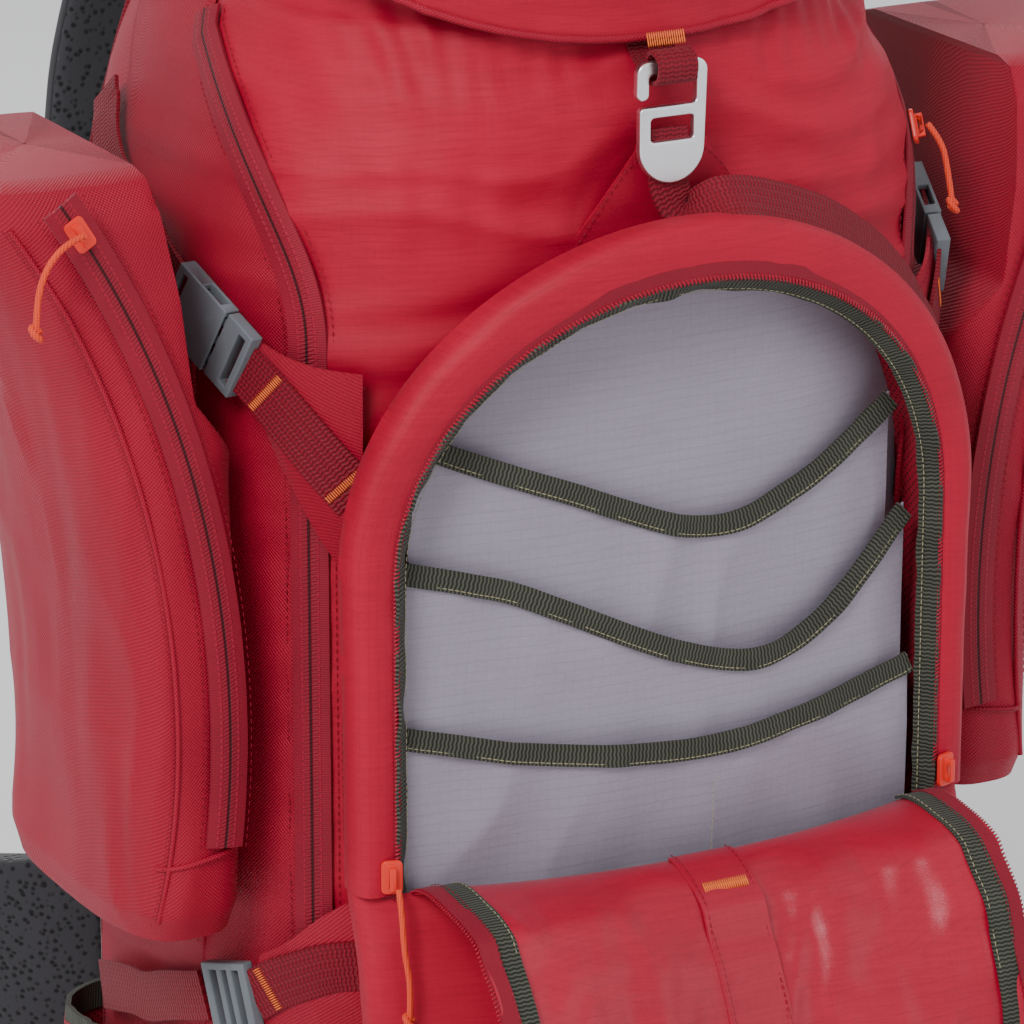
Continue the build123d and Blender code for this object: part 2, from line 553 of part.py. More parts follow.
LOOP_ROOM = 3.4
loop_outer = block(-8.2, 8.2, -HOOK_FRONT - LOOP_ROOM - WEBBING_THICK, -HOOK_FRONT + LOOP_ROOM + WEBBING_THICK,
                   bar_z - LOOP_ROOM - 0.4 - WEBBING_THICK, bar_z + 7)
loop_inner = block(-9.5, 9.5, -HOOK_FRONT - LOOP_ROOM, -HOOK_FRONT + LOOP_ROOM, bar_z - LOOP_ROOM - 0.4, bar_z + 4.4)
top_line = [
    (-118.8, bar_z - 1),
    (-112, bar_z + 2.2),
    (-106.2, 587),
    (-101, 606),
    (-87, 634),
    (-52, 657),
    (22, 660),
    (98, 657),
    (127, 634),
    (137.8, 610),
]
top_points = [Vector(0, y, z) for y, z in top_line]
top_normals = []
for i, point in enumerate(top_points):
    along = top_points[min(i + 1, len(top_points) - 1)] - top_points[max(i - 1, 0)]
    top_normals.append(Vector(1, 0, 0).cross(along).normalized() * -1)
top_strap = strip(top_points, top_normals, WEBBING, WEBBING_THICK)
save("top_strap", Compound(children=[*(loop_outer - loop_inner).solids(), *top_strap.solids()]))

# Hook webbing's tail: lies on the outer side of the band, then runs to the bag's side.
tail_points, tail_normals = [], []
band_half = OPENING_HALF + BAND_WIDTH + 2.4
band_rise = OPENING_RISE + BAND_WIDTH + 6 + 2.4
for degrees in (74, 62, 50, 38, 26, 14, 4):
    a = math.radians(degrees)
    x = band_half * math.cos(a)
    tail_points.append(Vector(x, -126 + RIM_CURVE * x ** 2, OPENING_SPRING + band_rise * math.sin(a)))
    tail_normals.append(Vector(math.cos(a) / band_half, 0, math.sin(a) / band_rise).normalized())
for turn, z, lift in ((52, 390, 13.0),):
    point, normal = body_point(turn, z, lift)
    tail_points.append(point)
    tail_normals.append(normal)
save("hook_tail", strip(tail_points, tail_normals, WEBBING - 3, WEBBING_THICK))

# ---------------------------------------------------------------- lid
LID_WALL = 5.0
lid_rings = [
    (572, 136, 114, 150),
    (620, 138, 113, 151),
    (662, 133, 104, 150),
    (690, 116, 84, 140),
    (706, 84, 52, 112),
]


def lid_shape(inset, drop):
    """Lid volume; drop lowers its top."""
    rings = []
    for z, half, front, back in lid_rings:
        rings.append(ring(0, (back - front) / 2, z - drop, half - inset, (back + front) / 2 - inset))
    return loft(rings)


edge_side = 634.0
edge_front = 586.0
edge_arc = ThreePointArc((-160, -200, edge_side), (0, -200, edge_front), (160, -200, edge_side))
edge_rest = Polyline((160, -200, edge_side), (160, -200, 300), (-160, -200, 300), (-160, -200, edge_side))
edge_face = Face(Wire([edge_arc.edge(), *edge_rest.edges()]))
edge_cut = Pos(0, 0, -20) * extrude(edge_face, amount=440, dir=(0, 1, 0.22))
cavity_top = block(-200, 200, -200, 200, 500, 674)
lid = lid_shape(0, 0) - (lid_shape(LID_WALL, 0) & cavity_top) - edge_cut
lid = max(lid.solids(), key=lambda solid: solid.volume)
save("lid", lid)
LID_ZIP_Z = 655.0
LID_ZIP_WIDTH = 12.0
LID_ZIP_LIFT = 5.2
zip_rings = []
for lift in (LID_ZIP_LIFT + TAPE_THICK, LID_ZIP_LIFT):
    face = ring(0, 23, LID_ZIP_Z - LID_ZIP_WIDTH / 2, 134 + lift, 128 + lift)
    zip_rings.append(extrude(face, amount=LID_ZIP_WIDTH, dir=(0, 0, 1)))
save("lid_zip", (zip_rings[0] - zip_rings[1]) & block(-200, 200, -200, -28, 600, 700))

# ---------------------------------------------------------------- harness
STRAP_THICK = 12.0
strap_line = [(54, 156, 566), (56, 176, 578), (60, 198, 566), (66, 208, 530), (72, 208, 480),
              (80, 208, 360), (88, 196, 290), (94, 178, 236)]
strap_points = [Vector(*point) for point in strap_line]
strap_normals = []
for i, point in enumerate(strap_points):
    along = strap_points[min(i + 1, len(strap_points) - 1)] - strap_points[max(i - 1, 0)]
    strap_normals.append(Vector(-1, 0, 0).cross(along).normalized())
shoulder = strip(strap_points, strap_normals, [58, 60, 64, 66, 66, 62, 56, 40], STRAP_THICK)
save("right_shoulder_strap", shoulder)
save("left_shoulder_strap", mirror(shoulder, Plane.YZ))

lifter = strip([Vector(52, 139, 592), Vector(60, 192, 590)], [Vector(0, 0, 1)] * 2, WEBBING, WEBBING_THICK)
lower_strap = strip([Vector(98, 170, 220), Vector(112, 148, 216), Vector(126, 106, 212)],
                    [Vector(0.5, 0.85, 0), Vector(0.8, 0.6, 0), Vector(0.9, 0.4, 0)], WEBBING, WEBBING_THICK)
save("harness_webbing", Compound(children=[*both_sides(lifter).solids(), *both_sides(lower_strap).solids()]))

STERNUM_Y = 208 + STRAP_THICK / 2 + MOVE_GAP
STERNUM_Z = 430.0
save("sternum_strap", block(-100, 100, STERNUM_Y, STERNUM_Y + WEBBING_THICK, STERNUM_Z - 10, STERNUM_Z + 10))
save("sternum_buckle", block(-22, 22, STERNUM_Y + WEBBING_THICK + 0.2, STERNUM_Y + WEBBING_THICK + 8.2,
                             STERNUM_Z - 13, STERNUM_Z + 13))

HAUL_HALF = 38.0
haul_line = [(-HAUL_HALF, 137, 590), (-28, 144, 600), (-12, 149, 606), (12, 149, 606), (28, 144, 600),
             (HAUL_HALF, 137, 590)]
haul_points = [Vector(*point) for point in haul_line]
save("haul_loop", strip(haul_points, [Vector(0, 1, 0)] * len(haul_points), WEBBING, WEBBING_THICK + 1))

# Hip belt: two wings that swing about upright seams beside the lumbar pad.
wing_out = ThreePointArc((BELT_HINGE_X, 152, 0), (170, 190, 0), (198, 298, 0))
wing_tip = Line((198, 298, 0), (185, 300, 0))
wing_in = ThreePointArc((185, 300, 0), (158, 202, 0), (BELT_HINGE_X, 166, 0))
wing_end = Line((BELT_HINGE_X, 166, 0), (BELT_HINGE_X, 152, 0))
wing_face = Face(Wire([piece.edge() for piece in (wing_out, wing_tip, wing_in, wing_end)]))
wing_block = extrude(wing_face, amount=BELT_Z + 60, dir=(0, 0, 1))
taper = [(140, BELT_Z - 48), (140, BELT_Z + 44), (310, BELT_Z + 26), (310, BELT_Z - 22)]
taper_wire = Polyline(*[(0, y, z) for y, z in taper], close=True)
belt_wing = wing_block & extrude(Face(Wire(taper_wire.edges())), amount=260, dir=(1, 0, 0))
save("right_belt_wing", belt_wing)
save("left_belt_wing", mirror(belt_wing, Plane.YZ))

BELT_WEBBING = 38.0
belt_path = [Vector(191, 302, BELT_Z + 2), Vector(186, 326, BELT_Z + 2), Vector(172, 350, BELT_Z + 2)]
belt_normals = [Vector(1, 0.1, 0), Vector(0.94, 0.34, 0), Vector(0.82, 0.57, 0)]
belt_strap = strip(belt_path, belt_normals, BELT_WEBBING, WEBBING_THICK + 0.4)
belt_plane = Plane(origin=(171, 352, BELT_Z + 2), x_dir=Vector(-0.57, 0.82, 0).normalized(), z_dir=(0.82, 0.57, 0))
belt_socket = belt_plane * (Pos(18, 0, 0) * Box(34, 50, 11) - Pos(24, 0, 0) * Box(24, 42, 6))
belt_plug = belt_plane * (Pos(10, 0, 0) * Box(18, 48, 8) + Pos(27, 15, 0) * Box(18, 6, 5)
                          + Pos(27, -15, 0) * Box(18, 6, 5) + Pos(27, 0, 0) * Box(18, 6, 5))
save("right_belt_socket", Compound(children=[*belt_strap.solids(), *belt_socket.solids()]))
save("left_belt_plug", mirror(Compound(children=[*belt_strap.solids(), *belt_plug.solids()]), Plane.YZ))

# ---------------------------------------------------------------- pull cords of the zip sliders
CORD = 2.4


def pull_cord(name, points):
    """Cord of straight runs and tangent arcs, with a round knot at its end."""
    vectors = [Vector(*point) for point in points]
    runs = [(b - a).length for a, b in zip(vectors, vectors[1:])]
    radii = []
    for i in range(1, len(vectors) - 1):
        turn = math.radians((vectors[i] - vectors[i - 1]).get_angle(vectors[i + 1] - vectors[i]))
        radii.append(0.45 * min(runs[i - 1], runs[i]) / math.tan(turn / 2))
    path = FilletPolyline(*vectors, radius=radii)
    start = Plane(origin=vectors[0], z_dir=vectors[1] - vectors[0])
    tube = sweep(start * Circle(CORD / 2), path=path)
    print(name, "radii", [round(radius, 1) for radius in radii], "length", round(path.length, 1),
          "volume ratio", round(tube.volume / (math.pi * CORD ** 2 / 4 * path.length), 3))
    save(name, tube)


front_y_cord = slider_y - 5.6
pull_cord("left_front_pull", [
    (-slider_x, front_y_cord, FRONT_SLIDER_Z - 3),
    (-slider_x - 0.6, front_y_cord - 4, FRONT_SLIDER_Z - 12),
    (-slider_x - 1.4, front_y_cord - 7, FRONT_SLIDER_Z - 25),
    (-slider_x + 0.4, front_y_cord - 9, FRONT_SLIDER_Z - 39),
    (-slider_x - 0.8, front_y_cord - 9.6, FRONT_SLIDER_Z - 53),
])
pocket_cord_x = -pocket_half(ZIP_TOP - 9.0)
pocket_cord_y = pocket_zip_y - 8.2
pull_cord("left_pocket_pull", [
    (pocket_cord_x - 1, pocket_cord_y, ZIP_TOP - 8),
    (pocket_cord_x - 9, pocket_cord_y - 3, ZIP_TOP - 9),
    (pocket_cord_x - 17, pocket_cord_y - 4, ZIP_TOP - 16),
    (pocket_cord_x - 21, pocket_cord_y - 3, ZIP_TOP - 28),
    (pocket_cord_x - 22, pocket_cord_y - 4, ZIP_TOP - 41),
])
cord_top = right_path[14] + right_normals[14] * 5.4
cord_out = right_normals[14]
pull_cord("right_main_pull", [
    tuple(cord_top),
    tuple(cord_top + cord_out * 4 + Vector(0, -3, -7)),
    tuple(cord_top + cord_out * 6 + Vector(0, -4, -17)),
    tuple(cord_top + cord_out * 6.4 + Vector(0, -8, -33)),
])

# Places of the joints, for the record and for checks.
JOINTS = {
    "crease": tuple(CREASE_POINT),
    "buckle_axis": tuple(BUCKLE_AXIS),
    "lock_pivot": tuple(LOCK_PIVOT),
    "lock_axis": tuple(LOCK_AXIS),
    "right_main_slider": tuple(right_path[14]),
    "hook_bar": (0.0, -HOOK_FRONT, bar_z),
}
for name, place in JOINTS.items():
    print(name, [round(value, 4) for value in place])
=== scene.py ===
import json
import math

import bmesh
import bpy
import numpy as np
from bpy.props import FloatProperty, FloatVectorProperty, PointerProperty
from mathutils import Matrix, Vector, noise


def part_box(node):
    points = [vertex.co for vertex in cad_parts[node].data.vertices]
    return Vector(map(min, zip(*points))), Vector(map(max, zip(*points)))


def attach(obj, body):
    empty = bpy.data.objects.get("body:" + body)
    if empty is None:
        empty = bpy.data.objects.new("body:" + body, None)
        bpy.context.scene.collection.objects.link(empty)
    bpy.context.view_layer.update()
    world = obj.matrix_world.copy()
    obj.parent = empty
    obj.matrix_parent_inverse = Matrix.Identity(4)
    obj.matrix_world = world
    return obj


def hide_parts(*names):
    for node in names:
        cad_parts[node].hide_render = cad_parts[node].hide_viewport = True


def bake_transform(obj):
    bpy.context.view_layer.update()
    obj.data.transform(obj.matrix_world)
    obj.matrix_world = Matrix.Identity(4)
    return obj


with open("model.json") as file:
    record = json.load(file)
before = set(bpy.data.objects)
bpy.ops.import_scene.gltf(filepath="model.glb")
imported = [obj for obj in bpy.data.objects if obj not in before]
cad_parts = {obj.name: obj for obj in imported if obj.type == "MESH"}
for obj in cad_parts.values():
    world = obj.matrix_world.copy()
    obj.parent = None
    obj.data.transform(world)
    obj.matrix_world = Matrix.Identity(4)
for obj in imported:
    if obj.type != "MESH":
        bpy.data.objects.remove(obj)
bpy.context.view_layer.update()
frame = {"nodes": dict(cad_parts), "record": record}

bl_info = {
    "name": "Touring Backpack",
    "version": (1, 0, 0),
    "blender": (4, 5, 0),
    "location": "3D View > Sidebar > Backpack",
    "description": "Builds the cloth, straps, zips and fittings of a touring backpack",
    "category": "Object",
}

MM = 0.001


def node_box(node):
    """Corners of a frame node in millimetres."""
    low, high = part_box(node)
    return Vector(low) / MM, Vector(high) / MM


# ------------------------------------------------------------------ sizes taken from the frame (mm)
BAND_LOW, BAND_HIGH = node_box("pocket_band")
BAND_WIDTH = 14.0
OPENING_HALF = BAND_HIGH.x - BAND_WIDTH
OPENING_BASE = BAND_LOW.z
OPENING_SPRING = 398.0
OPENING_RISE = 104.0
RIM_FRONT = 150.0
RIM_CURVE = 0.00145
BODY_HALF = 152.0
BODY_FRONT = 112.0
BODY_BACK = 128.0
ROUNDNESS = 3.0
ZIP_X = 126.0
ZIP_LEVEL = 478.0
ZIP_TOP = 584.0
ZIP_BASE = 110.0
HINGE = Vector((0.0, -154.0, 275.0))
FLAP_HANG = math.radians(145.0)
CREASE_HANG = math.radians(27.0)
FLAP_HALF = OPENING_HALF - 5.0
FLAP_CURVE = 0.0011
CREASE_Z = 348.0
POCKET_ARC = (538.0, 336.0, 375.0)
POCKET_FRONT = 84.0
POCKET_BACK = 58.0
POCKET_MIDDLE = -13.0
POCKET_INNER = 148.0
POCKET_REACH = 38.0
SIDES = ((-1, "left"), (1, "right"))


# ------------------------------------------------------------------ settings
class BackpackSettings(bpy.types.PropertyGroup):
    """Sizes and colours of the backpack's cloth and fittings."""

    webbing: FloatProperty(name="Webbing", description="Width of the side straps", default=0.020,
                           unit="LENGTH")
    wrinkle: FloatProperty(name="Wrinkles", description="Height of the soft folds in the cloth",
                           default=0.0029, unit="LENGTH")
    thread: FloatProperty(name="Thread", description="Pitch of the coarse side cloth's weave",
                          default=0.0015, unit="LENGTH")
    tooth: FloatProperty(name="Tooth", description="Pitch of the zip coil", default=0.0016, unit="LENGTH")
    red: FloatVectorProperty(name="Front cloth", description="Colour of the front cloth",
                             default=(0.375, 0.0026, 0.0240), subtype="COLOR", min=0, max=1)
    side_red: FloatVectorProperty(name="Side cloth", description="Colour of the coarse side cloth",
                                  default=(0.350, 0.0030, 0.0240), subtype="COLOR", min=0, max=1)
    strap_red: FloatVectorProperty(name="Webbing", description="Colour of the webbing",
                                   default=(0.200, 0.0030, 0.0140), subtype="COLOR", min=0, max=1)
    tape_red: FloatVectorProperty(name="Zip tape", description="Colour of the zip tape",
                                  default=(0.240, 0.0050, 0.0200), subtype="COLOR", min=0, max=1)
    lining: FloatVectorProperty(name="Lining", description="Colour of the lining",
                                default=(0.375, 0.330, 0.405), subtype="COLOR", min=0, max=1)
    binding: FloatVectorProperty(name="Binding", description="Colour of the edge binding",
                                 default=(0.036, 0.037, 0.027), subtype="COLOR", min=0, max=1)
    fitting: FloatVectorProperty(name="Fittings", description="Colour of the moulded fittings",
                                 default=(0.13, 0.145, 0.16), subtype="COLOR", min=0, max=1)
    orange: FloatVectorProperty(name="Pulls", description="Colour of the pull cords and bar tacks",
                                default=(0.80, 0.060, 0.020), subtype="COLOR", min=0, max=1)


# ------------------------------------------------------------------ shader maths
class Signal:
    """A socket that takes part in arithmetic by adding Math nodes."""

    def __init__(self, finish, socket):
        self.finish = finish
        self.socket = socket

    def _math(self, operation, *others):
        values = [other.socket if isinstance(other, Signal) else other for other in others]
        return self.finish.add("ShaderNodeMath", {"operation": operation}, dict(enumerate(values)))

    def __add__(self, other):
        return self._math("ADD", self, other)

    def __sub__(self, other):
        return self._math("SUBTRACT", self, other)

    def __rsub__(self, other):
        return self._math("SUBTRACT", other, self)

    def __mul__(self, other):
        return self._math("MULTIPLY", self, other)

    def sine(self):
        return self._math("SINE", self)

    def fract(self):
        return self._math("FRACT", self)

    def absolute(self):
        return self._math("ABSOLUTE", self)

    def smooth(self, low, high):
        """Smooth step between two values."""
        return self.finish.add("ShaderNodeMapRange", {"interpolation_type": "SMOOTHSTEP"},
                               {"Value": self, "From Min": low, "From Max": high})


class Finish:
    """One procedural material."""

    def __init__(self, name, roughness=0.7, **constants):
        self.material = bpy.data.materials.new(name)
        self.material.use_nodes = True
        self.tree = self.material.node_tree
        self.shader = self.tree.nodes["Principled BSDF"]
        self.shader.inputs["Roughness"].default_value = roughness
        self.shader.inputs["Specular IOR Level"].default_value = 0.25
        for key, value in constants.items():
            self.shader.inputs[key.replace("_", " ").title()].default_value = value

    def add(self, kind, settings=None, inputs=None, output=0):
        """Adds a node with its settings and inputs, and gives one output as a Signal."""
        node = self.tree.nodes.new(kind)
        for key, value in (settings or {}).items():
            setattr(node, key, value)
        for key, value in (inputs or {}).items():
            socket = node.inputs[key]
            if isinstance(value, Signal):
                value = value.socket
            if isinstance(value, bpy.types.NodeSocket):
                self.tree.links.new(value, socket)
            else:
                socket.default_value = value
        return Signal(self, node.outputs[output])

    def cloth_axes(self):
        """The two lengths along a piece's cloth, in metres, from its UV map."""
        uv = self.add("ShaderNodeUVMap", {"uv_map": "cloth"})
        split = self.tree.nodes.new("ShaderNodeSeparateXYZ")
        self.tree.links.new(uv.socket, split.inputs[0])
        return Signal(self, split.outputs[0]), Signal(self, split.outputs[1])

    def place(self):
        """Object coordinates."""
        return self.add("ShaderNodeTexCoord", output=3)

    def grain(self, scale, detail=3.0, roughness=0.5):
        """Smooth random value from 0 to 1 over the object's space."""
        return self.add("ShaderNodeTexNoise", {}, {"Vector": self.place(), "Scale": scale, "Detail": detail,
                                                   "Roughness": roughness})

    def mix(self, factor, first, second):
        """Colour between two colours."""
        node = self.tree.nodes.new("ShaderNodeMix")
        node.data_type = "RGBA"
        self.tree.links.new(factor.socket, node.inputs["Factor"])
        for key, value in (("A", first), ("B", second)):
            socket = [one for one in node.inputs if one.name == key and one.type == "RGBA"][0]
            if isinstance(value, Signal):
                self.tree.links.new(value.socket, socket)
            else:
                socket.default_value = (*value, 1.0)
        return Signal(self, [one for one in node.outputs if one.type == "RGBA"][0])

    def tones(self, factor, colour, low, high):
        """Colour between two shades of one colour."""
        return self.mix(factor, shade(colour, low), shade(colour, high))

    def colour(self, signal):
        """Drives the base colour."""
        self.tree.links.new(signal.socket, self.shader.inputs["Base Color"])

    def rough(self, signal):
        """Drives the roughness."""
        self.tree.links.new(signal.socket, self.shader.inputs["Roughness"])

    def relief(self, height, distance, strength=1.0):
        """Bump from a height signal."""
        bump = self.add("ShaderNodeBump", {}, {"Height": height, "Distance": distance, "Strength": strength})
        self.tree.links.new(bump.socket, self.shader.inputs["Normal"])


def rounded(value, power):
    """A power that keeps its sign, for rounded-square sections."""
    return math.copysign(abs(value) ** power, value)


def shade(colour, factor):
    """A colour made darker or lighter."""
    return tuple(min(1.0, channel * factor) for channel in colour)


TURN = 2 * math.pi


def crossing(across, along, pitch):
    """Waves of two crossing sets of threads."""
    return (across * (TURN / pitch)).sine() * (along * (TURN / pitch)).sine()


def woven_finish(name, colour, pitch, roughness=0.62, sheen=0.04, depth=0.00016, patches=0.25, ribs=False,
                 coat=0.0):
    """Plain weave, or a ribbed tape: threads in relief with painted shade between them, and slow changes of tone."""
    finish = Finish(name, roughness, sheen_weight=sheen, sheen_roughness=0.4, coat_weight=coat,
                    coat_roughness=0.35)
    across, along = finish.cloth_axes()
    if ribs:
        weave = (along * (TURN / pitch) + (across * (TURN / (pitch * 2.2))).sine() * 0.9).sine() * 0.5 + 0.5
        edge = (across * (TURN / pitch)).sine() * 0.18
        weave = weave * 0.85 + edge
    else:
        weave = crossing(across, along, pitch) * 0.5 + 0.5
    slow = finish.grain(14.0, 4.0)
    fine = finish.grain(900.0, 2.0)
    # the weave's low parts are painted darker: painted shade between the threads, over the same relief
    tone = weave * 0.55 + slow * patches * 1.6 + fine * 0.18
    finish.colour(finish.tones(tone.smooth(0.05, 1.05), colour, 0.55, 1.25))
    finish.rough(slow * 0.16 + (roughness - 0.08))
    finish.relief(weave + fine * 0.35, depth)
    return finish.material


def ripstop_finish(name, colour, grid=0.0031, roughness=0.55, coat=0.0, depth=0.00008, contrast=1.0):
    """Fine cloth with a faint grid of thicker threads."""
    finish = Finish(name, roughness, sheen_weight=0.03, sheen_roughness=0.4, coat_weight=coat,
                    coat_roughness=0.3)
    across, along = finish.cloth_axes()
    line_u = (across * (1 / grid)).fract().smooth(0.86, 0.97)
    line_v = (along * (1 / grid)).fract().smooth(0.86, 0.97)
    weave = crossing(across, along, 0.0007) * 0.5 + 0.5
    slow = finish.grain(10.0, 5.0)
    fine = finish.grain(700.0, 2.0)
    lines = line_u * 0.5 + line_v
    threads = finish.add("ShaderNodeTexNoise", {}, {
        "Vector": finish.add("ShaderNodeMapping", {}, {"Vector": finish.place(), "Scale": (9.0, 9.0, 170.0)}),
        "Scale": 7.0, "Detail": 2.0})
    tone = slow * 0.62 * contrast + weave * 0.20 + fine * 0.15 + threads * (0.34 * contrast) - lines * 0.10
    finish.colour(finish.tones(tone.smooth(0.05, 1.1), colour, 0.60, 1.35))
    finish.rough(slow * 0.14 + (roughness - 0.07))
    finish.relief(weave * 0.6 + lines * 0.22 + fine * 0.3 + threads * (0.5 * contrast), depth)
    return finish.material


def mesh_finish(name, colour, pitch=0.0034):
    """Stretch cloth with small round holes in rows, as dots in relief painted near-black: painted shade seen through
    the holes.
    """
    finish = Finish(name, 0.7, sheen_weight=0.04)
    across, along = finish.cloth_axes()
    hole = crossing(across, along, pitch).smooth(0.45, 0.7)
    slow = finish.grain(12.0, 3.0)
    base = finish.tones(slow, colour, 0.8, 1.2)
    # holes painted near-black: painted shade standing in for the dark seen through them
    finish.colour(finish.mix(hole, base, shade(colour, 0.12)))
    finish.relief(1.0 - hole, 0.0004)
    return finish.material


def binding_finish(name, colour):
    """Grosgrain tape: fine cross ribs with a painted highlight on the high threads and painted shade between them."""
    finish = Finish(name, 0.75, sheen_weight=0.05)
    across, along = finish.cloth_axes()
    ribs = (along * (TURN / 0.0016) + (across * (TURN / 0.0030)).sine() * 0.6).sine() * 0.5 + 0.5
    slow = finish.grain(60.0, 2.0)
    # high ribs painted much paler and low ones darker: painted highlight and painted shade on the ribs
    finish.colour(finish.tones((ribs * 0.75 + slow * 0.35).smooth(0.2, 1.0), colour, 0.35, 2.1))
    finish.relief(ribs, 0.00018)
    return finish.material


def tape_finish(name, colour):
    """Zip tape over a reversed coil: a dark middle line, rows of stitches and a knitted ground."""
    finish = Finish(name, 0.6, sheen_weight=0.05)
    across, along = finish.cloth_axes()
    middle = 1.0 - across.absolute().smooth(0.0002, 0.0008)
    row = 1.0 - (across.absolute() - 0.0034).absolute().smooth(0.0002, 0.0007)
    dash = (along * (1 / 0.0024)).fract().smooth(0.30, 0.36)
    knit = (along * (TURN / 0.0009)).sine() * 0.5 + 0.5
    coil = (along * (TURN / 0.0015) + across * 1400.0).sine() * (1.0 - across.absolute().smooth(0.002, 0.0034))
    slow = finish.grain(40.0, 3.0)
    ground = finish.tones((knit * 0.4 + slow * 0.5).smooth(0.0, 0.9), colour, 0.7, 1.25)
    stitched = finish.mix(row * dash, ground, shade(colour, 1.35))
    finish.colour(finish.mix(middle, stitched, shade(colour, 0.16)))
    finish.relief(knit * 0.3 + coil * 0.5 + row * dash * 0.9 - middle * 1.2, 0.00025)
    return finish.material


def plastic_finish(name, colour, roughness=0.42):
    """Moulded plastic: fine grain, paler scuffs on it."""
    finish = Finish(name, roughness, coat_weight=0.12, coat_roughness=0.3)
    grain = finish.grain(1500.0, 2.0)
    slow = finish.grain(45.0, 4.0)
    scuff = finish.grain(220.0, 5.0, 0.7).smooth(0.60, 0.74)
    base = finish.tones(slow, colour, 0.85, 1.15)
    finish.colour(finish.mix(scuff * 0.5, base, shade(colour, 1.8)))
    finish.rough(slow * 0.2 + scuff * 0.15 + (roughness - 0.1))
    finish.relief(grain * 0.5 + slow * 0.3, 0.00006)
    return finish.material


def metal_finish(name, colour, roughness=0.24):
    """Tumbled aluminium: soft mottling and hairline scratches."""
    finish = Finish(name, roughness, metallic=1.0)
    slow = finish.grain(60.0, 4.0)
    scratch = finish.add("ShaderNodeTexNoise", {}, {
        "Vector": finish.add("ShaderNodeMapping", {}, {"Vector": finish.place(), "Scale": (60.0, 60.0, 2400.0)}),
        "Scale": 3.0, "Detail": 3.0})
    finish.colour(finish.tones(slow, colour, 0.88, 1.06))
    finish.rough(slow * 0.16 + scratch * 0.14 + (roughness - 0.08))
    finish.relief(scratch * 0.4 + slow * 0.4, 0.00004)
    return finish.material


def braid_finish(name, colour, pitch=0.0016):
    """Braided cord or thread: slanting strands."""
    finish = Finish(name, 0.55, sheen_weight=0.05)
    place = finish.place()
    split = finish.tree.nodes.new("ShaderNodeSeparateXYZ")
    finish.tree.links.new(place.socket, split.inputs[0])
    x, y, z = (Signal(finish, split.outputs[i]) for i in range(3))
    strands = ((z + x * 0.6) * (TURN / pitch)).sine() * ((z - x * 0.6 + y) * (TURN / pitch)).sine() * 0.5 + 0.5
    finish.colour(finish.tones(strands, colour, 0.5, 1.2))
    finish.relief(strands, 0.00015)
    return finish.material


def foam_mesh_finish(name, colour):
    """Open spacer mesh over foam: a net whose open cells are painted darker, as painted shade in the openings."""
    finish = Finish(name, 0.85, sheen_weight=0.2)
    cells = finish.add("ShaderNodeTexVoronoi", {}, {"Vector": finish.place(), "Scale": 320.0})
    net = cells.smooth(0.15, 0.5)
    slow = finish.grain(16.0, 3.0)
    base = finish.tones(slow, colour, 0.7, 1.3)
    # the open cells take the darker colour: painted shade inside the mesh's openings
    finish.colour(finish.mix(net, shade(colour, 0.2), base))
    finish.relief(net, 0.0006)
    return finish.material


PALETTE = {}
STITCH = 3.2
SHARP_ANGLE = math.radians(50)


def make_palette(settings):
    """All finishes of the object."""
    red, side = tuple(settings.red), tuple(settings.side_red)
    strap, tape = tuple(settings.strap_red), tuple(settings.tape_red)
    lining, binding = tuple(settings.lining), tuple(settings.binding)
    fitting, orange = tuple(settings.fitting), tuple(settings.orange)
    PALETTE.update(
        front=ripstop_finish("FrontRipstop", red),
        side=woven_finish("SideOxford", side, settings.thread, 0.50, 0.03, 0.00026),
        lining=ripstop_finish("Lining", lining, 0.004, 0.38, 0.15, contrast=0.4),
        coated=ripstop_finish("CoatedInside", shade(red, 0.95), 0.0045, 0.26, 0.35),
        webbing=woven_finish("Webbing", strap, 0.0017, 0.6, 0.05, 0.00040, ribs=True),
        tape=tape_finish("ZipTape", tape),
        plain_tape=woven_finish("PlainTape", tape, 0.0010, 0.6, 0.05, 0.0001),
        binding=binding_finish("Grosgrain", binding),
        net=mesh_finish("StretchNet", shade(side, 0.9)),
        tooth=plastic_finish("CoilTeeth", shade(strap, 1.5), 0.22),
        thread=plastic_finish("Thread", shade(red, 0.62), 0.6),
        pale_thread=plastic_finish("PaleThread", (0.30, 0.27, 0.16), 0.7),
        tack=plastic_finish("BarTack", (0.85, 0.17, 0.03), 0.6),
        fitting=plastic_finish("MouldedFitting", fitting),
        metal=metal_finish("TumbledAluminium", (0.86, 0.86, 0.88)),
        stay=metal_finish("StayAluminium", (0.55, 0.55, 0.58), 0.4),
        sheet=plastic_finish("FrameSheet", (0.03, 0.03, 0.03), 0.5),
        slider=plastic_finish("EnamelledSlider", (0.72, 0.030, 0.018), 0.3),
        cord=braid_finish("PullCord", orange),
        pad=foam_mesh_finish("SpacerMesh", (0.035, 0.035, 0.040)),
        pad_edge=woven_finish("PadEdge", (0.06, 0.06, 0.066), 0.0012, 0.7, 0.2, 0.0001),
    )


# ------------------------------------------------------------------ mesh helpers (all in mm)
def placed(name, data):
    """New object in the scene for a mesh, curve, light or camera."""
    piece = bpy.data.objects.new(name, data)
    bpy.context.scene.collection.objects.link(piece)
    return piece


def finished(piece, slot, body):
    """Attaches a piece to its body if it has one; the slot is not used."""
    if body:
        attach(piece, body)
    return piece


def run_of(line):
    """Length along a line at each of its points."""
    return np.concatenate([[0], np.cumsum(np.linalg.norm(np.diff(line, axis=0), axis=1))])


def ring_faces(rings, sides):
    """Faces between closed rings of vertices, with both ends closed."""
    faces = []
    for i in range(rings - 1):
        for k in range(sides):
            m = (k + 1) % sides
            faces.append((i * sides + k, i * sides + m, (i + 1) * sides + m, (i + 1) * sides + k))
    return faces + [tuple(reversed(range(sides))), tuple(range((rings - 1) * sides, rings * sides))]


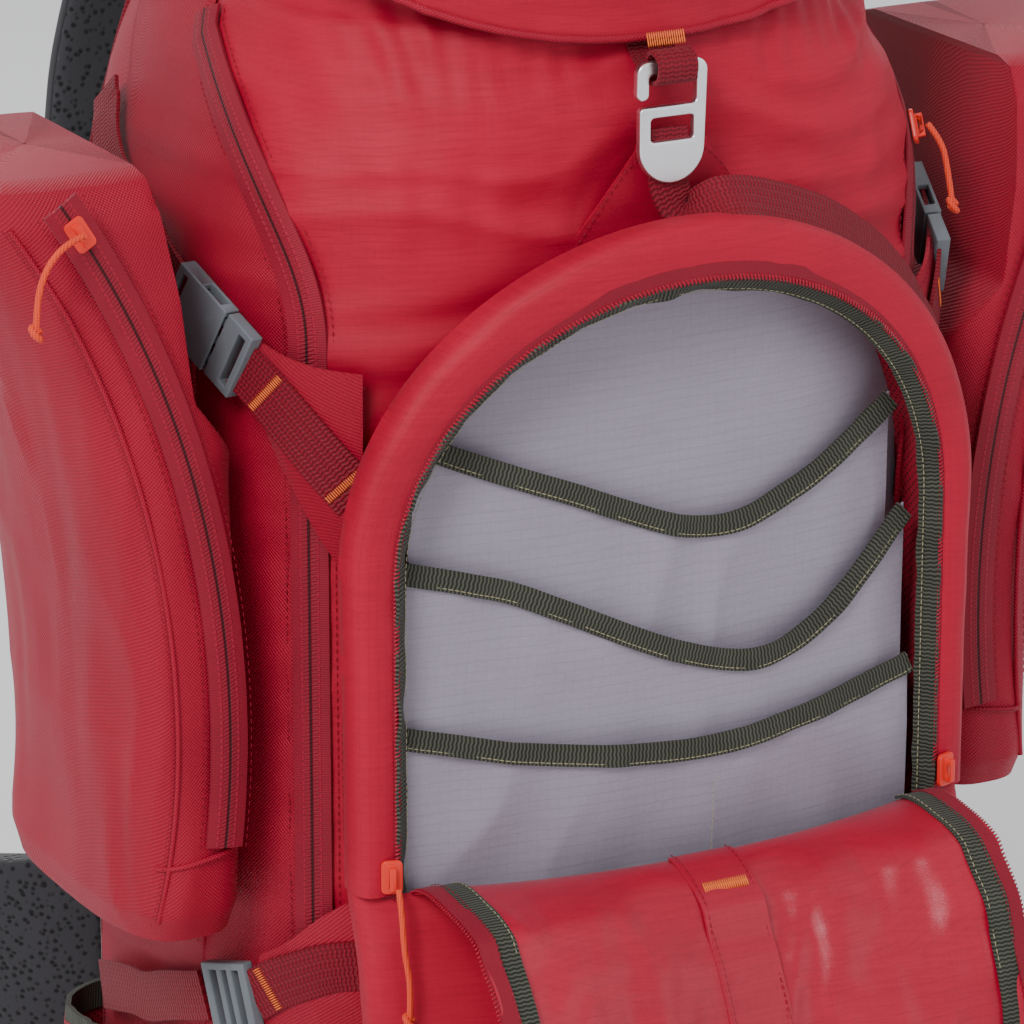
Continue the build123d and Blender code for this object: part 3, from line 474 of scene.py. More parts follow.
def from_curve(name, curve):
    """Mesh of a curve."""
    holder = placed(name, curve)
    bpy.context.view_layer.update()
    mesh = bpy.data.meshes.new_from_object(holder.evaluated_get(bpy.context.evaluated_depsgraph_get()))
    bpy.data.objects.remove(holder)
    return mesh


def new_object(name, verts, faces, finish, uv, body="pack", slot=None):
    """Mesh object from millimetre vertices, with lengths along its cloth as UVs."""
    mesh = bpy.data.meshes.new(name)
    mesh.from_pydata([tuple(vertex) for vertex in np.asarray(verts, float) * MM], [], faces)
    layer = mesh.uv_layers.new(name="cloth")
    flat = np.asarray(uv, float) * MM
    index = np.empty(len(mesh.loops), dtype=int)
    mesh.loops.foreach_get("vertex_index", index)
    layer.data.foreach_set("uv", flat[index].ravel())
    mesh.materials.append(PALETTE[finish])
    mesh.validate()
    mesh.shade_smooth()
    mesh.set_sharp_from_angle(angle=SHARP_ANGLE)
    return finished(placed(name, mesh), slot, body)


def grid_normals(points, closed=False):
    """Unit normals of a grid of points, from its two directions."""
    if closed:
        du = np.roll(points, -1, axis=1) - np.roll(points, 1, axis=1)
    else:
        du = np.gradient(points, axis=1)
    dv = np.gradient(points, axis=0)
    normal = np.cross(du, dv)
    length = np.linalg.norm(normal, axis=2, keepdims=True)
    return normal / np.maximum(length, 1e-9)


def grid_piece(name, points, finish, thick=1.4, closed=False, flip=False, **keys):
    """Sheet with a thickness from a grid of points; its outer side is along du x dv, or against it."""
    points = np.asarray(points, float)
    rows, columns = points.shape[:2]
    normal = grid_normals(points, closed)
    if flip:
        normal = -normal
    inner = points - normal * thick
    step_u = np.linalg.norm(np.diff(points, axis=1), axis=2)
    step_v = np.linalg.norm(np.diff(points, axis=0), axis=2)
    u = np.concatenate([np.zeros((rows, 1)), np.cumsum(step_u, axis=1)], axis=1)
    v = np.concatenate([np.zeros((1, columns)), np.cumsum(step_v, axis=0)], axis=0)
    uv = np.stack([u - u[:, columns // 2][:, None], v], axis=2)
    verts = np.concatenate([points.reshape(-1, 3), inner.reshape(-1, 3)])
    uvs = np.concatenate([uv.reshape(-1, 2), uv.reshape(-1, 2)])
    count = rows * columns
    faces = []
    last = columns if closed else columns - 1
    for j in range(rows - 1):
        for i in range(last):
            k = (i + 1) % columns
            a, b, c, d = j * columns + i, j * columns + k, (j + 1) * columns + k, (j + 1) * columns + i
            faces.append((a, b, c, d))
            faces.append((d + count, c + count, b + count, a + count))
    for i in range(last):
        k = (i + 1) % columns
        faces.append((k, i, i + count, k + count))
        top = (rows - 1) * columns
        faces.append((top + i, top + k, top + k + count, top + i + count))
    if not closed:
        for j in range(rows - 1):
            a, d = j * columns, (j + 1) * columns
            faces.append((a, d, d + count, a + count))
            faces.append((d + columns - 1, a + columns - 1, a + columns - 1 + count, d + columns - 1 + count))
    if flip:
        faces = [face[::-1] for face in faces]
    return new_object(name, verts, faces, finish, uvs, **keys)


def smooth_line(points, count):
    """Evenly spaced points on a smooth curve through given points."""
    points = np.asarray(points, float)
    padded = np.vstack([2 * points[0] - points[1], points, 2 * points[-1] - points[-2]])
    dense = []
    for i in range(1, len(padded) - 2):
        p0, p1, p2, p3 = padded[i - 1:i + 3]
        for t in np.linspace(0, 1, 16, endpoint=False):
            dense.append(0.5 * (2 * p1 + (p2 - p0) * t + (2 * p0 - 5 * p1 + 4 * p2 - p3) * t ** 2
                                + (3 * p1 - p0 - 3 * p2 + p3) * t ** 3))
    dense.append(points[-1])
    return resample(np.array(dense), count)


def resample(points, count):
    """The same line with evenly spaced points."""
    points = np.asarray(points, float)
    length = run_of(points)
    target = np.linspace(0, length[-1], count)
    return np.stack([np.interp(target, length, points[:, k]) for k in range(points.shape[1])], axis=1)


def line_length(points):
    """Length of a line."""
    return float(np.linalg.norm(np.diff(np.asarray(points), axis=0), axis=1).sum())


def unit(vectors):
    """Vectors made one long."""
    vectors = np.asarray(vectors, float)
    return vectors / np.maximum(np.linalg.norm(vectors, axis=-1, keepdims=True), 1e-9)


def band_piece(name, line, normals, width, thick, finish, lift=0.0, crown=0.0, waves=0.0, seed=0.0, **keys):
    """Woven band along a line: rounded edges, an optional crown and gentle waves, as one closed body."""
    line, normals = np.asarray(line, float), unit(normals)
    along = unit(np.gradient(line, axis=0))
    side = unit(np.cross(normals, along))
    normals = unit(np.cross(along, side))
    widths = np.broadcast_to(np.asarray(width, float), (len(line),))
    run = run_of(line)
    across = [-1.0, -0.97, -0.6, -0.2, 0.2, 0.6, 0.97, 1.0]
    section = [(t, 0.5 if abs(t) < 1 else 0.0) for t in across]
    section += [(t, -0.5) for t in reversed(across[1:-1])]
    verts, uvs = [], []
    for i in range(len(line)):
        wave = waves * noise.noise(Vector((run[i] / 16, seed, 0.0)))
        for t, h in section:
            rise = lift + h * thick + crown * (1 - t * t) + wave * t
            verts.append(line[i] + side[i] * t * widths[i] / 2 + normals[i] * rise)
            uvs.append((t * widths[i] / 2, run[i]))
    ring = len(section)
    faces = []
    for i in range(len(line) - 1):
        for k in range(ring):
            m = (k + 1) % ring
            faces.append((i * ring + k, (i + 1) * ring + k, (i + 1) * ring + m, i * ring + m))
    faces.append(tuple(range(ring)))
    faces.append(tuple(reversed(range((len(line) - 1) * ring, len(line) * ring))))
    piece = new_object(name, verts, faces, finish, uvs, **keys)
    orient(piece)
    return piece


def orient(piece):
    """Turns a closed piece's faces outwards."""
    work = bmesh.new()
    work.from_mesh(piece.data)
    bmesh.ops.recalc_face_normals(work, faces=work.faces)
    work.to_mesh(piece.data)
    work.free()


def tube_piece(name, line, radius, finish, sides=10, **keys):
    """Round cord or piping along a line, with closed ends."""
    line = np.asarray(line, float)
    along = unit(np.gradient(line, axis=0))
    guide = np.array([0.3, 0.5, 0.81])
    verts, uvs = [], []
    run = run_of(line)
    radii = np.broadcast_to(np.asarray(radius, float), (len(line),))
    for i in range(len(line)):
        side = unit(np.cross(along[i], guide))
        up = np.cross(side, along[i])
        guide = up
        for k in range(sides):
            a = TURN * k / sides
            verts.append(line[i] + (side * math.cos(a) + up * math.sin(a)) * radii[i])
            uvs.append((a * radii[i], run[i]))
    piece = new_object(name, verts, ring_faces(len(line), sides), finish, uvs, **keys)
    orient(piece)
    return piece


def softened(name, node, finish, width, segments, slot):
    """A frame node with its edges rounded."""
    source = frame["nodes"][node]
    mesh = source.data.copy()
    mesh.name = name
    mesh.transform(source.matrix_world)
    work = bmesh.new()
    work.from_mesh(mesh)
    bmesh.ops.remove_doubles(work, verts=work.verts, dist=2e-6)
    bmesh.ops.dissolve_limit(work, angle_limit=math.radians(3), verts=work.verts, edges=work.edges)
    sharp = [edge for edge in work.edges if len(edge.link_faces) == 2 and edge.calc_face_angle(0) > 0.5]
    bmesh.ops.bevel(work, geom=sharp, offset=width * MM, segments=segments, affect="EDGES", profile=0.6,
                    clamp_overlap=True)
    bmesh.ops.triangulate(work, faces=work.faces)
    work.to_mesh(mesh)
    work.free()
    mesh.materials.clear()
    mesh.materials.append(PALETTE[finish])
    mesh.shade_smooth()
    piece = finished(placed(name, mesh), slot, NODE_BODY[node])
    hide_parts(node)
    return piece


NODE_BODY = {node: body for body, nodes in frame["record"]["behaviour"]["bodies"].items() for node in nodes}


# ------------------------------------------------------------------ rows of repeated pieces
def row_tree():
    """Geometry Nodes: places one small part at even steps along a line, turned to its direction."""
    tree = bpy.data.node_groups.new("RowAlongLine", "GeometryNodeTree")
    for label, kind in (("Geometry", "Geometry"), ("Pitch", "Float"), ("Part", "Object"), ("Finish", "Material")):
        tree.interface.new_socket(label, in_out="INPUT", socket_type="NodeSocket" + kind)
    tree.interface.new_socket("Geometry", in_out="OUTPUT", socket_type="NodeSocketGeometry")
    kinds = {"start": "NodeGroupInput", "end": "NodeGroupOutput", "to_curve": "GeometryNodeMeshToCurve",
             "steps": "GeometryNodeResampleCurve", "info": "GeometryNodeObjectInfo",
             "tangent": "GeometryNodeInputTangent", "facing": "GeometryNodeInputNamedAttribute",
             "align_y": "FunctionNodeAlignEulerToVector", "align_z": "FunctionNodeAlignEulerToVector",
             "place": "GeometryNodeInstanceOnPoints", "real": "GeometryNodeRealizeInstances",
             "paint": "GeometryNodeSetMaterial"}
    nodes = {key: tree.nodes.new(kind) for key, kind in kinds.items()}
    nodes["steps"].mode = "LENGTH"
    nodes["facing"].data_type = "FLOAT_VECTOR"
    nodes["facing"].inputs["Name"].default_value = "facing"
    nodes["align_y"].axis = "Y"
    nodes["align_z"].axis = "Z"
    nodes["align_z"].pivot_axis = "Y"
    for source, output, target, socket in (
            ("start", "Geometry", "to_curve", "Mesh"), ("to_curve", "Curve", "steps", "Curve"),
            ("start", "Pitch", "steps", "Length"), ("steps", "Curve", "place", "Points"),
            ("start", "Part", "info", "Object"), ("info", "Geometry", "place", "Instance"),
            ("tangent", 0, "align_y", "Vector"), ("align_y", 0, "align_z", "Rotation"),
            ("facing", 0, "align_z", "Vector"), ("align_z", 0, "place", "Rotation"),
            ("place", 0, "real", 0), ("real", 0, "paint", "Geometry"),
            ("start", "Finish", "paint", "Material"), ("paint", 0, "end", 0)):
        tree.links.new(nodes[source].outputs[output], nodes[target].inputs[socket])
    return tree


PARTS = {}
PART_SIZES = {"stitch": (1.9, 0.42, 0.36), "tooth": (0.95, 2.9, 0.9), "tack": (0.5, 3.4, 0.35)}


def small_part(kind):
    """A stitch (a short rounded thread) or a tooth (one turn of a zip coil); long side along Y."""
    if kind in PARTS:
        return PARTS[kind]
    length, width, height = PART_SIZES[kind]
    sides = 6
    verts = []
    for t, scale in ((-0.5, 0.45), (-0.3, 1.0), (0.3, 1.0), (0.5, 0.45)):
        for k in range(sides):
            a = TURN * k / sides
            verts.append((width * scale * math.cos(a), t * length, height * scale * math.sin(a)))
    if kind == "tooth":
        verts = [(x, y + 0.18 * x, z) for x, y, z in verts]
    mesh = bpy.data.meshes.new(kind + "_part")
    mesh.from_pydata([(x * MM / 2, y * MM, z * MM / 2) for x, y, z in verts], [], ring_faces(4, sides))
    part = bpy.data.objects.new(kind + "_part", mesh)
    orient(part)
    PARTS[kind] = part
    return part


def row_piece(name, line, normals, pitch, kind, finish, slot, body="pack"):
    """Row of stitches or teeth along a line (mm), made by the node tree and turned into a mesh."""
    line = np.asarray(line, float)
    facing = unit(np.broadcast_to(np.asarray(normals, float), line.shape))
    mesh = bpy.data.meshes.new(name)
    mesh.from_pydata([tuple(p) for p in line * MM], [(i, i + 1) for i in range(len(line) - 1)], [])
    attribute = mesh.attributes.new("facing", "FLOAT_VECTOR", "POINT")
    attribute.data.foreach_set("vector", facing.ravel())
    holder = placed(name + "_line", mesh)
    modifier = holder.modifiers.new("Row", "NODES")
    if "RowAlongLine" not in bpy.data.node_groups:
        row_tree()
    group = bpy.data.node_groups["RowAlongLine"]
    ids = {item.name: item.identifier for item in group.interface.items_tree if item.in_out == "INPUT"}
    modifier.node_group = group
    modifier[ids["Pitch"]] = pitch * MM
    modifier[ids["Part"]] = small_part(kind)
    modifier[ids["Finish"]] = PALETTE[finish]
    bpy.context.view_layer.update()
    graph = bpy.context.evaluated_depsgraph_get()
    result = bpy.data.meshes.new_from_object(holder.evaluated_get(graph))
    bpy.data.objects.remove(holder)
    result.name = name
    if not result.materials:
        result.materials.append(PALETTE[finish])
    result.shade_smooth()
    return finished(placed(name, result), slot, body)


# ------------------------------------------------------------------ the bag's surface
def body_profile(z):
    """Half width, front and rear of the bag at a height."""
    foot = max(0.0, 1.0 - z / 90.0) ** 2
    neck = min(max(z - 490.0, 0.0), 110.0)
    lean = max(z - 540.0, 0.0)
    half = BODY_HALF - 20.0 * foot - 0.0041 * neck ** 2 + 0.0017 * neck * lean
    front = BODY_FRONT - 24.0 * foot - 0.0045 * lean ** 2
    back = BODY_BACK - 22.0 * foot + 0.10 * lean
    return half, front, back


def body_point(turn, z, lift=0.0):
    """Point on the bag at a turn from the front centre, and the normal there."""
    half, front, back = body_profile(z)
    mid, depth = (back - front) / 2, (back + front) / 2
    s, c = math.sin(math.radians(turn)), math.cos(math.radians(turn))
    across, ahead = rounded(s, 2 / ROUNDNESS), -rounded(c, 2 / ROUNDNESS)
    nx, ny = rounded(across, 2) / half, rounded(ahead, 2) / depth
    half_up, front_up, back_up = body_profile(z + 1)
    rise_x = across * (half_up - half)
    rise_y = (back_up - front_up) / 2 - mid + ahead * ((back_up + front_up) / 2 - depth)
    normal = unit(np.array([nx, ny, -(nx * rise_x + ny * rise_y)]))
    return np.array([across * half, mid + ahead * depth, z]) + normal * lift, normal


def front_y(x, z):
    """Y of the bag's front at a width and height."""
    half, front, back = body_profile(z)
    mid, depth = (back - front) / 2, (back + front) / 2
    return mid - depth * (1 - min(abs(x) / half, 1.0) ** ROUNDNESS) ** (1 / ROUNDNESS)


def zip_turn(z):
    """Turn of the main zip line at a height."""
    half = body_profile(z)[0]
    x = min(ZIP_X, half * 0.995)
    turn = math.degrees(math.asin((x / half) ** (ROUNDNESS / 2)))
    bend = max(z - ZIP_LEVEL, 0.0) / (ZIP_TOP - ZIP_LEVEL)
    return turn + (88.0 - turn) * min(bend, 1.0) ** 2


def folds(u, v, seed, across=26.0, along=110.0):
    """Height from -1 to 1 of soft folds, longer along u than v."""
    p = Vector((u / along, v / across, seed))
    warp = noise.noise(Vector((u / 70, v / 60, seed + 7.3)))
    ridge = 1 - 2 * abs(noise.noise(p + Vector((0, warp * 0.8, 0))))
    return 0.65 * ridge + 0.35 * noise.noise(p * 2.3 + Vector((3.1, 1.7, 0.4)))


def rim_y(x):
    """Y of the pocket rim at a width."""
    return -RIM_FRONT + RIM_CURVE * x * x


def arch_line(half, rise, count, base=None):
    """Evenly spaced X, Z points up one side, over the arch and down; and their outward directions."""
    low = OPENING_BASE if base is None else base
    dense = [(-half, low + (OPENING_SPRING - low) * i / 20) for i in range(20)]
    dense += [(-half * math.cos(math.pi * i / 80), OPENING_SPRING + rise * math.sin(math.pi * i / 80))
              for i in range(81)]
    dense += [(half, OPENING_SPRING - (OPENING_SPRING - low) * (i + 1) / 20) for i in range(20)]
    line = resample(dense, count)
    step = np.gradient(line, axis=0)
    out = unit(np.stack([-step[:, 1], step[:, 0]], axis=1))
    return line, out


def lift_line(flat, lift):
    """X, Z points set on the rim's surface, lift ahead of it."""
    return np.array([(x, rim_y(x) - lift, z) for x, z in flat])


def rim_normals(flat):
    """Directions straight out of the rim's surface."""
    return unit(np.array([(2 * RIM_CURVE * x, -1.0, 0.0) for x, z in flat]))


# ------------------------------------------------------------------ main bag
REAR_TURN = 116.4


PATCH_LOW, PATCH_HIGH = 40.0, 606.0
SEAM_FADE = 9.0


def bag_patch(name, turn_low, turn_high, columns, rows, finish, lift, fold, seed, slot="oxford", calm=None):
    """Cloth panel of the bag between two turns, with soft folds that die out at its seams."""
    points = np.zeros((rows, columns, 3))
    for j in range(rows):
        z = PATCH_LOW + (PATCH_HIGH - PATCH_LOW) * j / (rows - 1)
        start, end = turn_low(z), turn_high(z)
        for i in range(columns):
            share = i / (columns - 1)
            place, normal = body_point(start + (end - start) * share, z)
            edge = min(share, 1 - share) * (columns - 1) * 4.0 / SEAM_FADE
            edge = min(1.0, edge) * min(1.0, (z - PATCH_LOW) / SEAM_FADE + 0.15)
            height = folds(place[0] + place[1] * 0.6, z, seed) * fold * edge
            if calm:
                height = (height + calm(place[0], z)) * behind_pocket(place[0], z)
            points[j, i] = place + normal * (lift + height)
    return grid_piece(name, points, finish, 1.2, slot=slot)


def behind_pocket(x, z):
    """Share of the folds left in the front cloth where the pocket covers it."""
    rise = OPENING_RISE * math.sqrt(max(0.0, 1 - (x / (OPENING_HALF + 6)) ** 2))
    inside = min(OPENING_HALF + 6 - abs(x), OPENING_SPRING + rise - z)
    return 1.0 - 0.8 * min(max(inside / 12.0 + 0.5, 0.0), 1.0)


def pucker(x, z):
    """Small gathers of the front cloth under the edge of the lid and above the pocket."""
    near_lid = math.exp(-((z - 588.0) / 26.0) ** 2)
    near_arch = math.exp(-((z - 530.0) / 22.0) ** 2)
    ripple = noise.noise(Vector((x / 7.0, z / 60.0, 2.0)))
    return near_lid * ripple * 2.2 + near_arch * noise.noise(Vector((x / 13.0, z / 30.0, 5.0))) * 2.0


def build_bag(settings):
    """Cloth panels of the main bag, its base and its main zips."""
    fold = settings.wrinkle / MM
    made = bag_patch("front_cloth", lambda z: -zip_turn(z), zip_turn, 150, 260, "front", 1.2, fold * 1.5, 1.0,
                     "ripstop", pucker)
    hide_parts("front_panel")
    for side, node in ((-1, "left_side_panel"), (1, "right_side_panel")):
        ends = (zip_turn, lambda z: REAR_TURN)
        if side < 0:
            ends = (lambda z: -REAR_TURN, lambda z: -zip_turn(z))
        made = bag_patch(node.replace("panel", "cloth"), *ends, 90, 230, "side", 1.2, fold, 4.0 + side)
        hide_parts(node)
    made = bag_patch("rear_cloth", lambda z: REAR_TURN, lambda z: 360 - REAR_TURN, 90, 120, "side", 1.0,
                     fold * 0.5, 9.0)
    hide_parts("rear_panel")
    rows = [body_ring(z, 1.0) for z in (46, 36, 26, 18, 11, 6, 3)]
    rows += [body_ring(0.5, -2 - inset, 1.0) for inset in (0, 6, 16, 34, 56, 80, 104)]
    made = grid_piece("base_cloth", np.array(rows[::-1]), "side", 1.4, closed=True, slot="oxford")
    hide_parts("base_panel")
    build_main_zips()
    build_piping()
    for node, finish in (("frame_sheet", "sheet"), ("frame_stays", "stay")):
        paint_node(node, finish)


def build_main_zips():
    """Long zips between the front and side panels."""
    for side, word in SIDES:
        heights = np.linspace(ZIP_BASE, ZIP_TOP, 120)
        pairs = [body_point(side * zip_turn(z), z, 3.2) for z in heights]
        line, normals = np.array([p for p, n in pairs]), np.array([n for p, n in pairs])
        made = band_piece(f"{word}_main_zip_tape", line, normals, 15.0, 1.3, "tape", crown=0.9, waves=0.3,
                          seed=side, slot="tape")
        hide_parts("main_zips")
        side_seams(f"{word}_zip_seam", line, normals, 9.6, -normals, "ripstop")


def build_piping():
    """Piping and topstitching along the side panels and around the base."""
    for side, word in SIDES:
        line, normals = surface_line([(side * REAR_TURN, z) for z in (44, 200, 400, 600)], 2.0, 60)
        tube_piece(f"{word}_rear_piping", line, 1.6, "webbing", slot="oxford")
        line, normals = surface_line([(side * 77, z) for z in (96, 200, 330, 420, 468)], 2.6, 80)
        tube_piece(f"{word}_side_piping", line, 1.1, "side", slot="oxford")
        along = unit(np.gradient(line, axis=0))
        row_piece(f"{word}_side_topstitch", line + unit(np.cross(normals, along)) * 4.0 + normals * 0.2, normals,
                  STITCH, "stitch", "thread", slot="oxford")
    ring = body_ring(42, 1.6)
    tube_piece("base_piping", np.array(ring + ring[:1]), 1.6, "webbing", slot="oxford")


def paint_node(node, finish):
    """Gives a frame node its finish."""
    mesh = frame["nodes"][node].data
    mesh.materials.clear()
    mesh.materials.append(PALETTE[finish])


def side_seams(name, line, normals, offset, shift, slot):
    """Two rows of stitches, one along each side of a line."""
    across = unit(np.cross(normals, unit(np.gradient(line, axis=0))))
    for sign, label in ((-1, "a"), (1, "b")):
        row_piece(f"{name}_{label}", line + across * offset * sign + shift, normals, STITCH, "stitch", "thread",
                  slot=slot)


def body_ring(z, lift, level=None, count=128):
    """Closed line around the bag at a height."""
    line = []
    for i in range(count):
        place, normal = body_point(360.0 * i / count - 180.0, z)
        flat = unit(np.array([normal[0], normal[1], 0.0]))
        place = place + flat * lift
        if level is not None:
            place[2] = level
        line.append(place)
    return line


def surface_line(route, lift, count):
    """Smooth line on the bag through (turn, height) pairs, with its normals."""
    flat = smooth_line([(turn, z, 0.0) for turn, z in route], count)
    pairs = [body_point(turn, z, lift) for turn, z, _ in flat]
    return np.array([p for p, n in pairs]), np.array([n for p, n in pairs])


# ------------------------------------------------------------------ side pockets
def pocket_half(z):
    """Distance of the side pocket's zip from the middle at a height."""
    centre_x, centre_z, radius = POCKET_ARC
    return centre_x - math.sqrt(radius ** 2 - (z - centre_z) ** 2)


def pocket_reach(z):
    """Distance of the side pocket's outer wall from the middle, drawn in near the foot."""
    return pocket_half(z) + POCKET_REACH - 8.0 * max(0.0, (330.0 - z) / 70.0)


def pocket_face(x, z):
    """Y of the side pocket's front face."""
    reach = pocket_reach(z)
    half_x, middle_x = (reach - POCKET_INNER) / 2, (reach + POCKET_INNER) / 2
    half_y = (POCKET_FRONT + POCKET_BACK) / 2 - 10.0 * max(0.0, (z - 500.0) / 45.0)
    drop = (1 - min(1.0, abs(x - middle_x) / half_x) ** ROUNDNESS) ** (1 / ROUNDNESS)
    return POCKET_MIDDLE - half_y * drop - 1.2


def flare_x(z):
    """Inner wall of the side pocket, which leans out above the bag's shoulder."""
    if z < 436:
        return -140.0
    if z < 462:
        return -152.0 - 21.0 * (z - 436.0) / 26.0
    return -173.0 - 11.0 * (z - 462.0) / 84.0


def build_side_pockets():
    """Side pockets with their zips, seams and stretch bottle pockets."""
    count = 112
    for side, word in SIDES:
        rows = []
        heights = [250, 250.5] + list(np.linspace(253, 544, 110)) + [546.5, 547]
        for j, z in enumerate(heights):
            reach = pocket_reach(z)
            cap = {0: 0.0, 1: 0.85, len(heights) - 2: 0.85, len(heights) - 1: 0.0}.get(j, 1.0)
            edge = max(0.0, 1 - (z - 250) / 14) + max(0.0, 1 - (546 - z) / 14)
            half_x = ((reach - POCKET_INNER) / 2 - 3 * edge) * max(cap, 0.01)
            half_y = (POCKET_FRONT + POCKET_BACK) / 2 - 5 * edge - 10.0 * max(0.0, (z - 500.0) / 45.0)
            half_y *= max(cap, 0.01)
            middle_x = -(reach + POCKET_INNER) / 2
            row = []
            for i in range(count):
                a = TURN * i / count
                s, c = math.sin(a), math.cos(a)
                x = middle_x + half_x * rounded(s, 2 / ROUNDNESS)
                y = POCKET_MIDDLE + half_y * rounded(c, 2 / ROUNDNESS)
                bump = folds(z * 0.9, y - x, 12.0 + side, 30, 120) * 2.6 * (1 - min(1.0, edge))
                x += bump * s * 1.2
                y += bump * c
                limit = flare_x(z)
                row.append((-side * min(x, limit), y, z))
            rows.append(row)
        rows = np.array(rows)
        made = grid_piece(f"{word}_pocket_cloth", rows, "side", 1.2, closed=True, flip=side < 0, slot="oxford")
        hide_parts(f"{word}_side_pocket")
        heights = np.linspace(290, 543, 70)
        line = np.array([(side * pocket_half(z), -86.4, z) for z in heights])
        normals = np.tile((0.0, -1.0, 0.0), (len(line), 1))
        made = band_piece(f"{word}_pocket_zip_tape", line, normals, 15.0, 1.3, "tape", crown=0.9, waves=0.3,
                          seed=3.0 + side, slot="tape")
        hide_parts("side_pocket_zips")
        side_seams(f"{word}_pocket_seam", line, normals, 9.4, np.array([0, 0.6, 0]), "oxford")
        line = np.array([(side * (pocket_half(z) + 20.0), pocket_face(pocket_half(z) + 20.0, z) - 0.6, z)
                         for z in np.linspace(262, 532, 60)])
        tube_piece(f"{word}_pocket_piping", line, 1.1, "side", slot="oxford")
        row_piece(f"{word}_pocket_topstitch", line + (side * 3.0, -0.9, 0), (0, -1, 0), STITCH, "stitch", "thread",
                  slot="oxford")
        line = np.array([(side * x, pocket_face(x, 287 - 0.16 * (x - 165)) - 0.6, 287 - 0.16 * (x - 165))
                         for x in np.linspace(151, pocket_half(287) + 24, 40)])
        tube_piece(f"{word}_pocket_lower_piping", line, 1.1, "side", slot="oxford")
        build_bottle_pocket(side, word)


def build_bottle_pocket(side, word):
    """Stretch pocket low on the side, with a ribbed hem."""
    rows = []
    count = 72
    for j in range(46):
        share = j / 45
        row = []
        for i in range(count):
            a = math.pi * 1.10 * (i / (count - 1) - 0.5) - math.pi / 2
            s, c = math.sin(a), math.cos(a)
            across, along = rounded(s, 2 / 2.6), rounded(c, 2 / 2.6)
            y = 30.0 + 80.0 * along
            top = 184.0 - 34.0 * (y + 60.0) / 180.0
            z = 12.0 + (top - 12.0) * share
            grow = -4.0 * max(0.0, 1 - (z - 12) / 48)
            gather = 1.4 * noise.noise(Vector((y / 9.0, share * 3, side * 4.0))) * share ** 2
            x = -116.0 + (50.0 + grow + gather) * across
            row.append((-side * min(x, -104.0), y, z))
        rows.append(row)
    hem = np.array(rows[-1])
    made = grid_piece(f"{word}_bottle_net", np.array(rows), "net", 1.4, flip=side > 0, slot="mesh")
    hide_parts(f"{word}_bottle_pocket")
    normals = unit(hem - np.array([side * 116.0, 30.0, 0.0]) * (1, 1, 0) - np.array([0, 0, 1]) * hem[:, 2:3])
    band_piece(f"{word}_bottle_hem", hem, normals, 12.0, 2.2, "binding", waves=0.4, seed=side, slot="mesh")


# ------------------------------------------------------------------ front pocket
RIM_POINTS = 240


def build_front_pocket():
    """Band around the opening, perforated gusset, pouch, lining and sleeves."""
    line, out = arch_line(OPENING_HALF, OPENING_RISE, RIM_POINTS)
    build_band(line, out)
    build_gusset(line, out)
    build_pouch()
    build_lining()
    build_sleeves()


def build_band(line, out):
    """Padded band around the opening, with two rows of stitches."""
    count = RIM_POINTS
    section = [(0.0, 12.0), (0.0, 6.0), (0.2, 2.5), (1.2, 0.8), (3.0, 0.0), (5.5, -0.3), (8.5, -0.3), (11.0, 0.3),
               (12.8, 1.6), (13.8, 4.0), (14.0, 8.0), (13.8, 13.6), (12.4, 14.6)]
    points = np.zeros((len(section), count, 3))
    for i in range(count):
        rise = math.sin(math.pi * i / (count - 1)) ** 3
        for k, (d, back) in enumerate(section):
            scale = 1 + 0.45 * rise
            x = line[i, 0] + out[i, 0] * d * scale
            z = line[i, 1] + out[i, 1] * d * scale
            ruck = noise.noise(Vector((line[i, 0] / 14, line[i, 1] / 14, d / 9))) * 0.9
            y = rim_y(line[i, 0]) + back - ruck * math.sin(math.pi * min(max(d - 6.0, 0.0), 8.0) / 8.0)
            points[k, i] = (x, y, z)
    made = grid_piece("pocket_band_cloth", points, "front", 1.2, flip=True, slot="ripstop")
    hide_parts("pocket_band")
    for d, name in ((11.0, "band_seam_outer"), (8.4, "band_seam_inner")):
        scale = 1 + 0.45 * np.sin(np.pi * np.arange(count) / (count - 1)) ** 3
        flat = line + out * (d * scale)[:, None]
        seam = np.array([(x, rim_y(x0) - 0.1, z) for (x, z), (x0, z0) in zip(flat, line)])
        row_piece(name, seam, (0, -1, 0), 3.0, "stitch", "thread", slot="ripstop")


def build_gusset(line, out):
    """Perforated stretch wall behind the band."""
    rows = []
    for k in range(16):
        share = k / 15
        row = []
        for i in range(RIM_POINTS):
            x, z = line[i] + out[i] * (1.2 + 1.2 * math.sin(math.pi * share))
            near = rim_y(x) + 12.0
            far = front_y(x, min(z, 560.0)) + 1.0
            ruck = noise.noise(Vector((x / 18, share * 2, z / 18))) * 1.6 * math.sin(math.pi * share)
            row.append((x + out[i, 0] * ruck, near + (far - near) * share, z + out[i, 1] * ruck))
        rows.append(row)
    made = grid_piece("gusset_net", np.array(rows), "net", 1.2, flip=True, slot="mesh")
    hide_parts("pocket_gusset")


